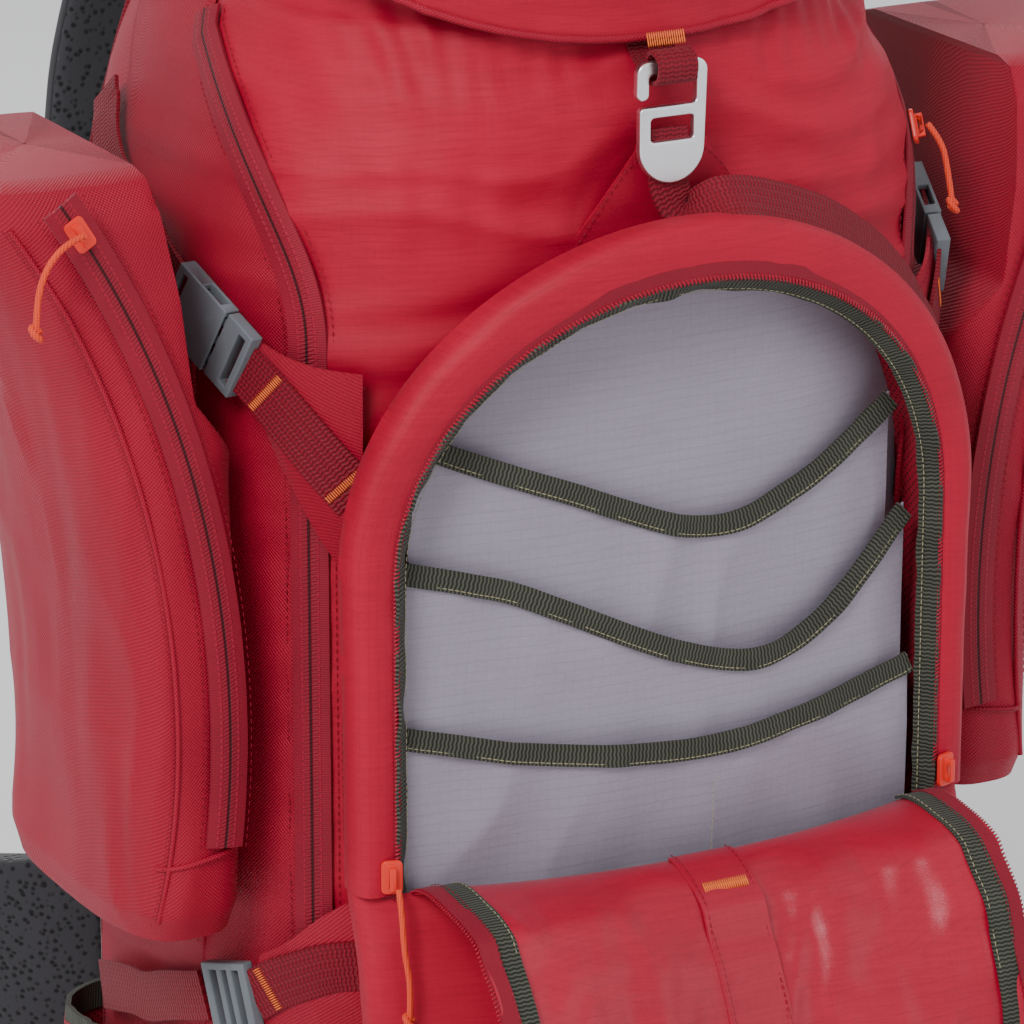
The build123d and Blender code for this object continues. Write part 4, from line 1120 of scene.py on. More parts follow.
def build_pouch():
    """Lower part of the pocket's front, full in the middle."""
    rows = []
    half, neck = OPENING_HALF + BAND_WIDTH, OPENING_HALF + 2.4
    heights = [96, 97, 99] + list(np.linspace(103, 277.6, 90))
    for z in heights:
        swell = 16.5 * math.sin(math.pi * min(1.0, (z - 96) / (OPENING_BASE - 96)))
        tuck = 34.0 * max(0.0, 1 - (z - 96) / 40.0) ** 2
        side_half = half - 0.5 * tuck
        near = RIM_FRONT + swell - tuck
        side_y = -near + RIM_CURVE * side_half ** 2
        outline = [(-neck, -60.0), (-neck, side_y + 32), (-neck - 1, side_y + 22), (-side_half + 3, side_y + 15),
                   (-side_half, side_y + 8)]
        front = [(x, -near + RIM_CURVE * x * x) for x in np.linspace(-side_half + 1.5, side_half - 1.5, 15)]
        outline = outline + front + [(-x, y) for x, y in outline[::-1]]
        row = smooth_line([(x, y, z) for x, y in outline], 170)
        for place in row:
            weight = min(1.0, (278 - z) / 10.0)
            place[1] -= folds(place[0], z, 21.0, 30, 80) * 1.6 * weight
        rows.append(row)
    made = grid_piece("pouch_cloth", np.array(rows), "front", 1.4, slot="ripstop")
    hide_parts("pouch_front")


def lining_top(x):
    """Height of the lining's arched top at a width."""
    return OPENING_SPRING + OPENING_RISE * math.sqrt(max(0.0, 1 - (x / (OPENING_HALF + 2)) ** 2)) + 1.0


def build_lining():
    """Lining at the back of the pocket."""
    rows = []
    for j in range(80):
        row = []
        for x in np.linspace(-OPENING_HALF - 1, OPENING_HALF + 1, 110):
            z = 180 + (lining_top(x) - 180) * j / 79
            pillow = 5.0 * noise.noise(Vector((x / 60, z / 45, 31.0))) + folds(x, z, 33.0, 22, 60) * 2.8
            edge = min(1.0, (lining_top(x) - z) / 14 + 0.1)
            row.append((x, front_y(x, min(z, 540.0)) - 6.4 - (pillow + 1.0) * edge * 0.3, z))
        rows.append(row)
    made = grid_piece("pocket_lining", np.array(rows), "lining", 1.0, slot="lining")
    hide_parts("organizer_panel")


SLEEVES = [
    ("upper_sleeve", -121.0, [(-103, 452), (-93, 444), (-45, 424), (15, 401), (58, 410), (97, 432), (103, 436)]),
    ("middle_sleeve", -126.5, [(-108, 401), (-104, 399), (-64, 387), (-1, 357), (38, 347), (69, 358), (100, 385),
                               (108, 392)]),
    ("lower_sleeve", -132.0, [(-112, 339), (-104, 336), (-50, 324), (10, 318), (54, 322), (100, 330), (108, 332)]),
]


def build_sleeves():
    """Three slip pockets, one behind the other, with ribbed edges."""
    for index, (node, depth, landmarks) in enumerate(SLEEVES):
        edge = smooth_line([(x, 0.0, z) for x, z in landmarks], 110)
        rows = []
        for j in range(70):
            share = j / 69
            row = []
            for x, _, top in edge:
                z = 236 + (top - 236) * share
                sag = 3.5 * math.sin(math.pi * (x + 110) / 220) * share ** 2
                wave = folds(z * 0.9, x * 0.8, 40.0 + index, 34, 70) * 2.6
                side = rim_y(x) + RIM_FRONT
                row.append((x, depth + side * 0.55 - sag - wave, z))
            rows.append(row)
        rows = np.array(rows)
        name = node.replace("sleeve", "sleeve_cloth")
        made = grid_piece(name, rows, "lining", 0.9, slot="lining")
        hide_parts(node)
        top_line = rows[-1] + (0, -0.6, -2.6)
        hem = band_piece(node + "_binding", top_line, np.tile((0.0, -1.0, 0.12), (len(top_line), 1)), 8.5, 1.6,
                         "binding", waves=1.0, seed=60.0 + index, slot="tape")
        seam = top_line + (0, -1.2, -2.9)
        row_piece(node + "_seam", seam, (0, -1, 0), 2.4, "stitch", "pale_thread", slot="tape")
    divider = np.array([(13.0 + 0.02 * (z - 240), -136.5 - 0.02 * (z - 240), z) for z in np.linspace(240, 300, 30)])
    row_piece("sleeve_divider", divider, (0, -1, 0), 2.6, "stitch", "pale_thread", slot="lining")


def build_front_zip(settings):
    """Coil zip on the rim, with its tape and the wavy binding inside the opening."""
    count = 260
    line, out = arch_line(OPENING_HALF, OPENING_RISE, count, OPENING_BASE - 2)
    flat = line + out * 3.4
    tape = lift_line(flat, 1.0)
    made = band_piece("front_zip_tape", tape, rim_normals(flat), 6.4, 1.0, "plain_tape", waves=0.3, slot="tape")
    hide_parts("front_zip")
    flat = line + out * 0.6
    row_piece("front_zip_coil", lift_line(flat, 1.5), rim_normals(flat), settings.tooth / MM, "tooth", "tooth",
              slot="tape")
    flat = line - out * 2.6
    inside = np.array([(x, rim_y(x) + 2.6 + 1.2 * noise.noise(Vector((x / 9, z / 9, 0))), z) for x, z in flat])
    normals = np.array([(-o[0] * 0.75, -0.66, -o[1] * 0.75) for o in out])
    band_piece("opening_binding", inside, normals, 9.5, 1.2, "binding", waves=1.6, seed=5.0, slot="tape")
    flat = line - out * 5.2
    seam = np.array([(x, rim_y(x) + 4.0, z) for x, z in flat])
    row_piece("opening_seam", seam, normals, 2.6, "stitch", "pale_thread", slot="tape")


# ------------------------------------------------------------------ flap
FLAP_END = 222.0
FLAP_SPLIT = 58.0
CREASE_AT = CREASE_Z - HINGE.z


def flap_line(count=400):
    """Side view of the open flap: distance from the fold, Y, Z and direction angle."""
    s = np.linspace(0, FLAP_END + 6, count)
    ease = np.clip(s / 16, 0, 1)
    start = math.radians(70)
    angle = start + (FLAP_HANG - start) * ease * ease * (3 - 2 * ease)
    turn = np.clip((s - CREASE_AT + 14) / 28, 0, 1)
    angle = angle + CREASE_HANG * turn * turn * (3 - 2 * turn)
    step = np.diff(s, prepend=0)
    y = HINGE.y + np.cumsum(-np.sin(angle) * step)
    z = HINGE.z + 4.0 + np.cumsum(np.cos(angle) * step)
    return s, y, z, angle


FLAP_S, FLAP_Y, FLAP_Z, FLAP_ANGLE = flap_line()


def flap_half(s):
    """Half width of the flap at a distance from the fold."""
    spring = OPENING_SPRING - HINGE.z
    if s <= spring:
        return FLAP_HALF
    rise = OPENING_RISE - 5.0
    return FLAP_HALF * math.sqrt(max(0.0, 1 - ((s - spring) / rise) ** 2))


def flap_point(x, s, lift=0.0):
    """Point on the open flap: x across, s from the fold, lift towards its lined side."""
    y = float(np.interp(s, FLAP_S, FLAP_Y))
    z = float(np.interp(s, FLAP_S, FLAP_Z))
    angle = float(np.interp(s, FLAP_S, FLAP_ANGLE))
    inner = np.array([0.0, math.cos(angle), math.sin(angle)])
    curl = FLAP_CURVE * x * x
    body = folds(s * 0.9 + x * 0.35, x * 0.9, 50.0, 26, 90) * 4.2 + noise.noise(Vector((x / 34, s / 30, 8.0))) * 5.0
    body += noise.noise(Vector((x / 9, s / 11, 18.0))) * 0.9
    ramp = min(1.0, s / 26.0)
    ramp = ramp * ramp * (3 - 2 * ramp)
    rigid = np.array([x, y, z]) + inner * (curl + body * ramp + lift)
    rim = np.array([x, rim_y(x) - 1.0, HINGE.z + 2.0]) + inner * lift
    return rim * (1 - ramp) + rigid * ramp


def flap_blend(piece, s_low):
    """Bakes a flap piece's transform into its mesh."""
    crease = Vector((0.0, float(np.interp(CREASE_AT, FLAP_S, FLAP_Y)), float(np.interp(CREASE_AT, FLAP_S, FLAP_Z))))
    if s_low < FLAP_SPLIT - 1:
        end = Vector(flap_point(0.0, 42.0)) * MM
        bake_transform(piece)
    else:
        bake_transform(piece)


def flap_sheet(name, s_low, s_high, lift, finish):
    """Layer of the flap between two distances from the fold."""
    rows = []
    steps = max(8, int((s_high - s_low) / 1.6))
    for j in range(steps + 1):
        s = s_low + (s_high - s_low) * j / steps
        half = flap_half(min(s, FLAP_END - 0.6))
        rows.append([flap_point(half * t, s, lift) for t in np.linspace(-1, 1, 121)])
    made = grid_piece(name, np.array(rows), finish, 0.8, slot="ripstop", body=None)
    orient(made)
    flap_blend(made, s_low)
    return made


def flap_edge_line(inset, s_low, s_high, count, side=None):
    """Line inside the flap's edge, up one side and round the end, between two distances."""
    spring = OPENING_SPRING - HINGE.z
    rise = OPENING_RISE - 5.0 - inset
    half = FLAP_HALF - inset
    flat = []
    if side is None:
        flat += [(-half, s) for s in np.linspace(s_low, spring, 20)]
        flat += [(-half * math.cos(a), spring + rise * math.sin(a)) for a in np.linspace(0, math.pi, 90)[1:-1]]
        flat += [(half, s) for s in np.linspace(spring, s_low, 20)]
    else:
        flat = [(side * half, s) for s in np.linspace(s_low, s_high, 20)]
    return resample(np.array(flat), count)


def flap_lines(flat, lift):
    """Points of the flap at a lift, and the direction ahead of each."""
    line = np.array([flap_point(x, s, lift) for x, s in flat])
    return line, np.array([flap_point(x, s, lift + 2.0) for x, s in flat]) - line


def flap_edges(inset, lift):
    """The flap's edge as a long end piece and a root on each side: part, line, directions, where it starts."""
    for part, side, low, high in (("end", None, FLAP_SPLIT, FLAP_END), ("root_left", -1, 3.0, FLAP_SPLIT),
                                  ("root_right", 1, 3.0, FLAP_SPLIT)):
        flat = flap_edge_line(inset, low, high, 300 if side is None else 50, side)
        yield part, *flap_lines(flat, lift), low


def flap_band(name, inset, width, lift, finish, thick, waves):
    """Band that follows the flap's edge."""
    made = []
    for part, line, ahead, low in flap_edges(inset, lift):
        piece = band_piece(f"{name}_{part}", line, ahead, width, thick, finish, waves=waves, seed=inset,
                           slot="tape", body=None)
        flap_blend(piece, low)
        made.append(piece)
    return made


def flap_row(name, inset, lift, pitch, kind, finish):
    """Row of teeth or stitches along the flap's edge."""
    for part, line, ahead, low in flap_edges(inset, lift):
        flap_blend(row_piece(f"{name}_{part}", line, ahead, pitch, kind, finish, slot="tape", body=None), low)


def build_flap(settings):
    """The open front flap: ripstop outside, coated inside, with zip, binding and a centre strip."""
    for part, low, high in (("root", 0.0, FLAP_SPLIT), ("end", FLAP_SPLIT, FLAP_END)):
        node = "flap_upper" if part == "root" else "flap_lower"
        inside = flap_sheet(f"flap_inside_{part}", low, high, 0.6, "coated")
        flap_sheet(f"flap_outside_{part}", low, high, -0.3, "front")
        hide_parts(node)
    binding = flap_band("flap_binding", 10.5, 10.0, 2.0, "binding", 1.1, 0.5)
    tape = flap_band("flap_tape", 3.0, 7.0, 1.6, "plain_tape", 0.9, 0.2)
    flap_row("flap_coil", -0.6, 0.9, settings.tooth / MM, "tooth", "tooth")
    flap_row("flap_seam_inner", 14.2, 3.2, 2.8, "stitch", "pale_thread")
    flap_row("flap_seam_outer", 6.8, 3.0, 2.8, "stitch", "thread")
    for part, low, high in (("root", 5.0, FLAP_SPLIT), ("end", FLAP_SPLIT, 207.5)):
        s = np.linspace(low, high, 60 if part == "root" else 150)
        line, ahead = flap_lines([(0.0, v) for v in s], 2.1)
        piece = band_piece(f"flap_strip_{part}", line, ahead, 27.0, 1.2, "coated", waves=0.5, seed=71.0,
                           slot="ripstop", body=None)
        flap_blend(piece, low)
        for offset in (-11.5, 11.5):
            line, ahead = flap_lines([(offset, v) for v in s], 3.1)
            row = row_piece(f"flap_strip_seam_{part}_{'a' if offset < 0 else 'b'}", line, ahead, 2.8, "stitch",
                            "thread", slot="ripstop", body=None)
            flap_blend(row, low)
    tack, ahead = flap_lines([(x, 20.0) for x in np.linspace(-9, 9, 12)], 3.4)
    for k, shift in enumerate((0.0, 2.0)):
        row = row_piece(f"flap_tack_{k}", tack + (0, -shift * 0.6, -shift * 0.4), ahead, 0.9, "tack", "tack",
                        slot="cord", body=None)
        flap_blend(row, 0.0)
    binding[1:] + tape[1:]


# ------------------------------------------------------------------ straps, wings and fittings
WEBBING_THICK = 1.7


def strap_band(name, route, width, lift, count=60, **keys):
    """Webbing on the bag through (turn, height) pairs."""
    line, normals = surface_line(route, lift, count)
    return band_piece(name, line, normals, width, WEBBING_THICK, "webbing", slot="webbing", **keys)


def tab_patch(name, upper, lower, seed):
    """Cloth tab of an anchored strap between its upper and lower edges, with stitched edges."""
    count = 50
    high, high_normals = surface_line(upper, 9.6, count)
    low, low_normals = surface_line(lower, 9.6, count)
    rows = []
    for j in range(24):
        share = j / 23
        row = []
        for i in range(count):
            normal = unit(low_normals[i] + (high_normals[i] - low_normals[i]) * share)
            place = low[i] + (high[i] - low[i]) * share
            rise = folds(i * 1.6, share * 40, seed, 14, 60) * 1.3 * math.sin(math.pi * share)
            row.append(place + normal * (rise + 1.6 * math.sin(math.pi * share)))
        rows.append(row)
    made = grid_piece(name, np.array(rows), "side", 1.5, slot="ripstop")
    orient(made)
    for share, label in ((0.06, "a"), (0.94, "b")):
        line = low + (high - low) * share
        normals = unit(low_normals + high_normals)
        row_piece(f"{name}_seam_{label}", line + normals * 0.9, normals, 3.0, "stitch", "thread", slot="ripstop")
    return made


def tack_row(name, centre, along, normal, width, rows=2):
    """Bar tack: short dense rows of bright thread across a strap."""
    centre, along, normal = np.array(centre), unit(along), unit(normal)
    side = unit(np.cross(normal, along))
    for k in range(rows):
        start = centre + along * 2.2 * k - side * width / 2
        line = np.array([start + side * width * t for t in np.linspace(0, 1, 12)])
        row_piece(f"{name}_{k}", line, normal, 0.9, "tack", "tack", slot="cord")


def build_straps(settings):
    """Side straps with their cloth tabs, the shoulder yoke, the hook webbing and the top strap."""
    width = settings.webbing / MM
    upper_tab = ([(38, 470), (46, 472), (53, 476), (59, 482)], [(38, 384), (46, 408), (53, 434), (59, 460)])
    lower_tab = ([(38, 268), (46, 258), (53, 246), (59, 238)], [(38, 196), (46, 202), (53, 207), (59, 210)])
    for side, word in SIDES:
        for tab, label, seed in ((upper_tab, "upper", 1.0), (lower_tab, "lower", 3.0)):
            high, low = ([(side * t, z) for t, z in edge] for edge in tab)
            made = tab_patch(f"{word}_{label}_tab", high, low, seed + side)
            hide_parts("strap_wings")
        web = [(side * 39, 424), (side * 45, 438), (side * 50, 450), (side * 55, 461), (side * 60.5, 471)]
        made = strap_band(f"{word}_upper_webbing", web, width, 13.0, seed=side)
        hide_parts("front_webbing")
        tack_points, tack_normals = surface_line(web, 14.1, 60)
        for spot, label in ((6, "a"), (47, "b")):
            tack_row(f"{word}_upper_tack_{label}", tack_points[spot], tack_points[spot + 1] - tack_points[spot],
                     tack_normals[spot], width - 3, 1)
        web = [(side * 39, 240), (side * 45, 238), (side * 50, 234), (side * 55, 229), (side * 60, 222)]
        strap_band(f"{word}_lower_webbing", web, width, 13.0, seed=side + 5.0)
        tack_points, tack_normals = surface_line(web, 14.1, 60)
        tack_row(f"{word}_lower_tack", tack_points[47], tack_points[48] - tack_points[47], tack_normals[47],
                 width - 3, 1)
        rear = [(side * 62, 473), (side * 70, 484), (side * 80, 497), (side * 92, 520), (side * 101, 545)]
        made = strap_band(f"{word}_rear_upper_webbing", rear, width, 9.0, 70, waves=0.4, seed=side)
        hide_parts("rear_webbing")
        rear = [(side * 74, 213), (side * 84, 204), (side * 92, 192), (side * 100, 184)]
        strap_band(f"{word}_rear_lower_webbing", rear, width, 8.0, 50, seed=side)
    build_yoke()
    build_hook_webbing()
    build_top_strap(width)


def build_yoke():
    """Cloth reinforcement between the pocket's arch and the hook webbing."""
    outline = [(-62, 482), (-36, 512), (-9, 543), (21, 543), (44, 512), (66, 482)]
    rows = []
    for j in range(40):
        share = j / 39
        row = []
        z = 470 + 76 * share
        left = np.interp(z, [470, 480, 544], [-72, -62, -9])
        right = np.interp(z, [470, 480, 544], [76, 66, 21])
        for t in np.linspace(0, 1, 60):
            x = left + (right - left) * t
            rise = folds(x, z, 77.0, 14, 40) * 0.8 * math.sin(math.pi * t)
            row.append((x, front_y(x, z) - 4.0 - rise, z))
        rows.append(row)
    made = grid_piece("yoke_cloth", np.array(rows), "front", 1.0, slot="ripstop")
    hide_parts("yoke")
    edge = np.array([(x, front_y(x, z) - 4.9, z) for x, z, _ in smooth_line([(x, z, 0) for x, z in outline], 120)])
    row_piece("yoke_seam", edge * (0.97, 1, 1) + (0, 0, -2.0), (0, -1, 0), 3.0, "stitch", "thread", slot="ripstop")


def build_top_strap(width):
    """Strap from the bag's rear over the mouth to the hook's bar, and the loop that holds the hook."""
    bar = 576.5
    ends = [(-118.8, bar - 1), (-112, bar + 2.2), (-106.2, 587), (-101.5, 606), (-95, 624), (-87, 634)]
    hidden = [(-52, 657), (22, 660), (98, 657), (127, 634), (137.8, 610)]
    line = smooth_line([(0.0, y, z) for y, z in ends + hidden], 160)
    normals = unit(np.cross(np.tile((-1.0, 0.0, 0.0), (160, 1)), np.gradient(line, axis=0)))
    made = band_piece("top_webbing", line, normals, width - 1, 1.7, "webbing", seed=9.0, slot="webbing")
    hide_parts("top_strap")
    loop = [(0, -119.5, bar - 2), (0, -122, bar + 4.6), (0, -126, bar + 5.4), (0, -129.6, bar + 3), (0, -130.4, bar),
            (0, -129, bar - 4.2), (0, -125, bar - 5.8), (0, -121, bar - 4.4), (0, -119.4, bar - 1.0)]
    line = smooth_line(loop, 60)
    normals = line - np.array([0, -125, bar])
    band_piece("hook_loop_webbing", line, normals, 16.4, 1.7, "webbing", slot="webbing")
    tack_row("top_strap_tack", (0, -121.5, bar + 8.5), (0, 0.35, 1), (0, -1, 0.35), 15)


def build_hook_webbing():
    """Webbing that leaves the hook, turns over and runs down the outer side of the band."""
    start = [(0, -122.8, 553), (0, -123.0, 540), (1.0, -124.0, 529), (6.0, -127.0, 521)]
    half, rise = OPENING_HALF + BAND_WIDTH + 5.6, OPENING_RISE + BAND_WIDTH + 12.4
    arc, radial = [], []
    for degrees in (82, 74, 62, 50, 38, 26, 14, 4):
        a = math.radians(degrees)
        x = half * math.cos(a)
        arc.append((x, -134.5 + RIM_CURVE * x * x, OPENING_SPRING + rise * math.sin(a)))
        radial.append((math.cos(a) / half, -0.0078, math.sin(a) / rise))
    end, end_normal = body_point(52, 390, 12.0)
    points = np.array(start + arc + [tuple(end)], float)
    radial = unit(np.array(radial))
    normals = [(0, -1, 0), (0, -1, 0), (0.1, -0.95, 0.3), (0.1, -0.7, 0.7)] + [tuple(r) for r in radial]
    normals.append(tuple(end_normal))
    line = smooth_line(points, 200)
    run = run_of(points)
    target = np.linspace(0, run[-1], 200)
    spread = np.stack([np.interp(target, run, np.array(normals)[:, k]) for k in range(3)], axis=1)
    wide = np.interp(target, [0, 30, 60, run[-1]], [16.8, 17.0, 19.0, 18.0])
    made = band_piece("hook_webbing_band", line, unit(spread), wide, 1.6, "webbing", waves=0.8, seed=15.0,
                      slot="webbing")
    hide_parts("hook_webbing", "hook_tail")


def turn_points(centre, radius, start, end, count=10):
    """Points on an arc, in degrees."""
    return [(centre[0] + radius * math.cos(math.radians(a)), centre[1] + radius * math.sin(math.radians(a)))
            for a in np.linspace(start, end, count)]


def build_hook():
    """Flat forged hook: a rounded foot with a slot, an arm up one side and a bar with a turned-down end."""
    outline = [(-13.5, -9.5)] + turn_points((0, -9.5), 13.5, 180, 360, 28)
    outline += turn_points((9.5, 18.0), 5.0, 0, 90) + turn_points((-10.2, 18.6), 4.4, 90, 180)
    outline += turn_points((-12.3, 11.4), 2.5, 170, 370, 14) + turn_points((-8.0, 16.2), 1.8, 180, 90, 6)
    outline += turn_points((8.2, 16.0), 2.0, 90, 0, 6) + turn_points((8.2, 8.2), 2.0, 0, -90, 6)
    outline += turn_points((-11.5, 4.2), 2.0, 90, 180, 6)
    hole = turn_points((7.5, 0.5), 1.5, 0, 90, 6) + turn_points((-7.5, 0.5), 1.5, 90, 180, 6)
    hole += turn_points((-7.5, -5.5), 1.5, 180, 270, 6) + turn_points((7.5, -5.5), 1.5, 270, 360, 6)
    curve = bpy.data.curves.new("hook_outline", "CURVE")
    curve.dimensions = "2D"
    curve.fill_mode = "BOTH"
    curve.extrude = 1.1 * MM
    curve.bevel_depth = 0.7 * MM
    curve.bevel_resolution = 3
    curve.offset = -0.7 * MM
    for ring in (outline, hole):
        spline = curve.splines.new("POLY")
        spline.points.add(len(ring) - 1)
        spline.use_cyclic_u = True
        for point, (x, z) in zip(spline.points, ring):
            point.co = (x * MM, z * MM, 0, 1)
    mesh = from_curve("hook_outline", curve)
    mesh.name = "hook_forging"
    mesh.transform(Matrix.Translation(Vector((0, -125, 556)) * MM) @ Matrix.Rotation(math.pi / 2, 4, "X"))
    mesh.materials.clear()
    mesh.materials.append(PALETTE["metal"])
    mesh.shade_smooth()
    hook = placed("hook_forging", mesh)
    work = bmesh.new()
    work.from_mesh(mesh)
    bmesh.ops.remove_doubles(work, verts=work.verts, dist=1e-6)
    work.to_mesh(mesh)
    work.free()
    orient(hook)
    finished(hook, "hook_metal", NODE_BODY["g_hook"])
    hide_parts("g_hook")


def build_fittings():
    """Buckles, ladder locks, the hook and the zip sliders."""
    for node in ("buckle_plugs", "left_buckle_socket", "right_buckle_socket", "left_ladder_lock",
                 "right_ladder_lock", "sternum_buckle"):
        softened(node + "_moulding", node, "fitting", 0.9, 3, "buckle")
    for node in ("left_belt_plug", "right_belt_socket"):
        softened(node + "_moulding", node, "fitting", 0.7, 2, "buckle")
    build_hook()
    for node in ("left_front_slider", "right_front_slider", "left_pocket_slider", "right_pocket_slider",
                 "left_main_slider", "right_main_slider"):
        softened(node + "_casting", node, "slider", 0.6, 2, "slider")


# ------------------------------------------------------------------ lid and collar
LID_RINGS = [(572, 136, 114, 150), (620, 138, 113, 151), (662, 133, 104, 150), (690, 116, 84, 140),
             (706, 84, 52, 112)]
LID_MIDDLE = 22.0


def lid_edge(x, y):
    """Height of the lid's lower edge."""
    radius = (160.0 ** 2 + 48.0 ** 2) / (2 * 48.0)
    arc = 586.0 + radius - math.sqrt(radius ** 2 - min(abs(x), 160.0) ** 2)
    return arc - 20.0 + 0.22 * (y + 200.0)


def lid_ring(z, a, grow=0.0):
    """Point of the lid's section at a height and a turn."""
    heights = [r[0] for r in LID_RINGS]
    half, front, back = (np.interp(z, heights, [r[k] for r in LID_RINGS]) for k in (1, 2, 3))
    s, c = math.sin(a), math.cos(a)
    x = (half + grow) * rounded(s, 2 / ROUNDNESS)
    y = (back - front) / 2 - ((back + front) / 2 + grow) * rounded(c, 2 / ROUNDNESS)
    return x, y


def build_lid():
    """Stuffed lid with a piped edge, its zip, and the drawn-in collar below it."""
    count = 200
    rows = []
    for j in range(64):
        share = j / 63
        row = []
        for i in range(count):
            a = TURN * i / count - math.pi
            x, y = lid_ring(600, a)
            low = lid_edge(x, y)
            if share < 0.72:
                z = low + (704 - low) * (share / 0.72)
                x, y = lid_ring(z, a)
                soft = min(1.0, (z - low) / 12.0)
                bump = (folds(a * 95, z, 81.0, 30, 90) * 2.4 + 2.0 * noise.noise(Vector((a * 2.5, z / 40, 3)))) * soft
                gather = noise.noise(Vector((a * 16, 0.0, 6.0))) * 1.6 * math.exp(-((z - low) / 18.0) ** 2)
                scale = 1 + (bump + gather) / 130.0
                row.append((x * scale, LID_MIDDLE + (y - LID_MIDDLE) * scale, z))
            else:
                t = (share - 0.72) / 0.28
                x, y = lid_ring(704, a)
                z = 704 + 3.5 * math.sin(t * math.pi / 2) + folds(x * (1 - t), y, 82.0, 40, 90) * 1.4 * t
                row.append((x * (1 - t * 0.98), 30 + (y - 30) * (1 - t * 0.98), z))
        rows.append(row)
    rows = np.array(rows)
    made = grid_piece("lid_cloth", rows, "front", 2.0, closed=True, body="lid", slot="ripstop")
    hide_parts("lid")
    edge = np.vstack([rows[0], rows[0][:1]])
    tube_piece("lid_piping", edge + (0, 0, 0.5), 1.7, "side", body="lid", slot="ripstop")
    band = []
    for i in range(140):
        a = math.radians(-68 + 136 * i / 139)
        x, y = lid_ring(655, a, 3.4)
        band.append((x, y, 655.0))
    band = np.array(band)
    outward = unit((band - (0, LID_MIDDLE, 0)) * (1, 1, 0))
    made = band_piece("lid_zip_tape", band, outward, 13.0, 1.4, "tape", crown=0.8, body="lid", slot="tape")
    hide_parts("lid_zip")
    seam = np.array([(*lid_ring(672, TURN * i / 200 - math.pi, 1.8), 672.0) for i in range(201)])
    upward = unit((seam - (0, LID_MIDDLE, 0)) * (1, 1, 0) + (0, 0, 0.4))
    row_piece("lid_seam", seam, upward, STITCH, "stitch", "thread", body="lid", slot="ripstop")
    build_collar()


def build_collar():
    """Drawn-in collar around the bag's mouth."""
    rows = []
    for j in range(30):
        share = j / 29
        row = []
        for i in range(120):
            a = TURN * i / 120
            low, high = body_ring_point(606, a, -3.0), body_ring_point(606, a, -16.0)
            mouth = np.array([76 * math.sin(a), 18 - 65 * math.cos(a), 651.0])
            if share < 0.35:
                place = low + (high + (0, 0, 22) - low) * (share / 0.35)
            else:
                place = high + (0, 0, 22) + (mouth - high - (0, 0, 22)) * ((share - 0.35) / 0.65)
            pleat = 2.0 * math.sin(a * 26 + noise.noise(Vector((a, 0, 4))) * 6) * share
            row.append(place + (pleat * math.sin(a), -pleat * math.cos(a), 0))
        rows.append(row)
    made = grid_piece("collar_cloth", np.array(rows), "lining", 0.9, closed=True, slot="lining")
    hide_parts("collar")


def body_ring_point(z, a, lift):
    """Point around the bag at a turn given in radians."""
    place, normal = body_point(math.degrees(a), z)
    flat = unit(np.array([normal[0], normal[1], 0.0]))
    return place + flat * lift


# ------------------------------------------------------------------ harness
def build_harness():
    """Back pads, shoulder straps, hip belt and their webbing."""
    for node in ("back_pad", "lumbar_pad", "left_belt_wing", "right_belt_wing"):
        softened(node + "_foam", node, "pad", 4.0, 4, "pad")
    line = smooth_line([(54, 156, 566), (56, 176, 578), (60, 198, 566), (66, 208, 530), (72, 208, 480),
                        (80, 208, 360), (88, 196, 290), (94, 178, 236)], 120)
    widths = np.interp(np.linspace(0, 1, 120), np.linspace(0, 1, 8), [58, 60, 64, 66, 66, 62, 56, 40])
    along = unit(np.gradient(line, axis=0))
    outward = unit(np.cross(np.tile((-1.0, 0.0, 0.0), (120, 1)), along))
    side = unit(np.cross(outward, along))
    section = [(rounded(math.sin(a), 0.45), rounded(math.cos(a), 0.7))
               for a in np.linspace(0, TURN, 32, endpoint=False)]
    for sign, word in ((1, "right"), (-1, "left")):
        rows = []
        for i in range(120):
            pinch = 1 - 0.3 * math.exp(-(min(i, 119 - i) / 5.0) ** 2)
            row = [line[i] + side[i] * s * widths[i] / 2 + outward[i] * c * 6.0 * pinch for s, c in section]
            rows.append(row)
        rows = np.array(rows) * (sign, 1, 1)
        made = grid_piece(f"{word}_strap_foam", rows, "pad", 1.0, closed=True, slot="pad")
        orient(made)
        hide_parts(f"{word}_shoulder_strap")
        for edge in (-1, 1):
            trim = (line + side * (edge * widths / 2)[:, None]) * (sign, 1, 1)
            tube_piece(f"{word}_strap_piping_{'a' if edge < 0 else 'b'}", trim, 1.8, "pad_edge", slot="pad")
        lifter = smooth_line([(52 * sign, 139, 592), (55 * sign, 160, 589), (60 * sign, 192, 590)], 30)
        made = band_piece(f"{word}_lifter_webbing", lifter, np.tile((0.0, 0.0, 1.0), (30, 1)), 20, 1.6, "webbing",
                          slot="webbing")
        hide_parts("harness_webbing")
        lower = smooth_line([(98 * sign, 170, 220), (112 * sign, 148, 216), (126 * sign, 106, 212)], 30)
        band_piece(f"{word}_strap_webbing", lower, np.tile((0.8 * sign, 0.6, 0.0), (30, 1)), 20, 1.6, "webbing",
                   slot="webbing")
    chest = np.array([(x, 215.9, 430.0) for x in np.linspace(-100, 100, 80)])
    made = band_piece("chest_webbing", chest, np.tile((0.0, 1.0, 0.0), (80, 1)), 20, 1.6, "webbing",
                      body="sternum_strap", slot="webbing", waves=0.2)
    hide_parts("sternum_strap")
    haul = smooth_line([(-38, 137, 590), (-28, 144, 600), (-12, 149, 606), (12, 149, 606), (28, 144, 600),
                        (38, 137, 590)], 60)
    made = band_piece("haul_webbing", haul, np.tile((0.0, 1.0, 0.0), (60, 1)), 20, 2.4, "webbing", slot="webbing")
    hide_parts("haul_loop")


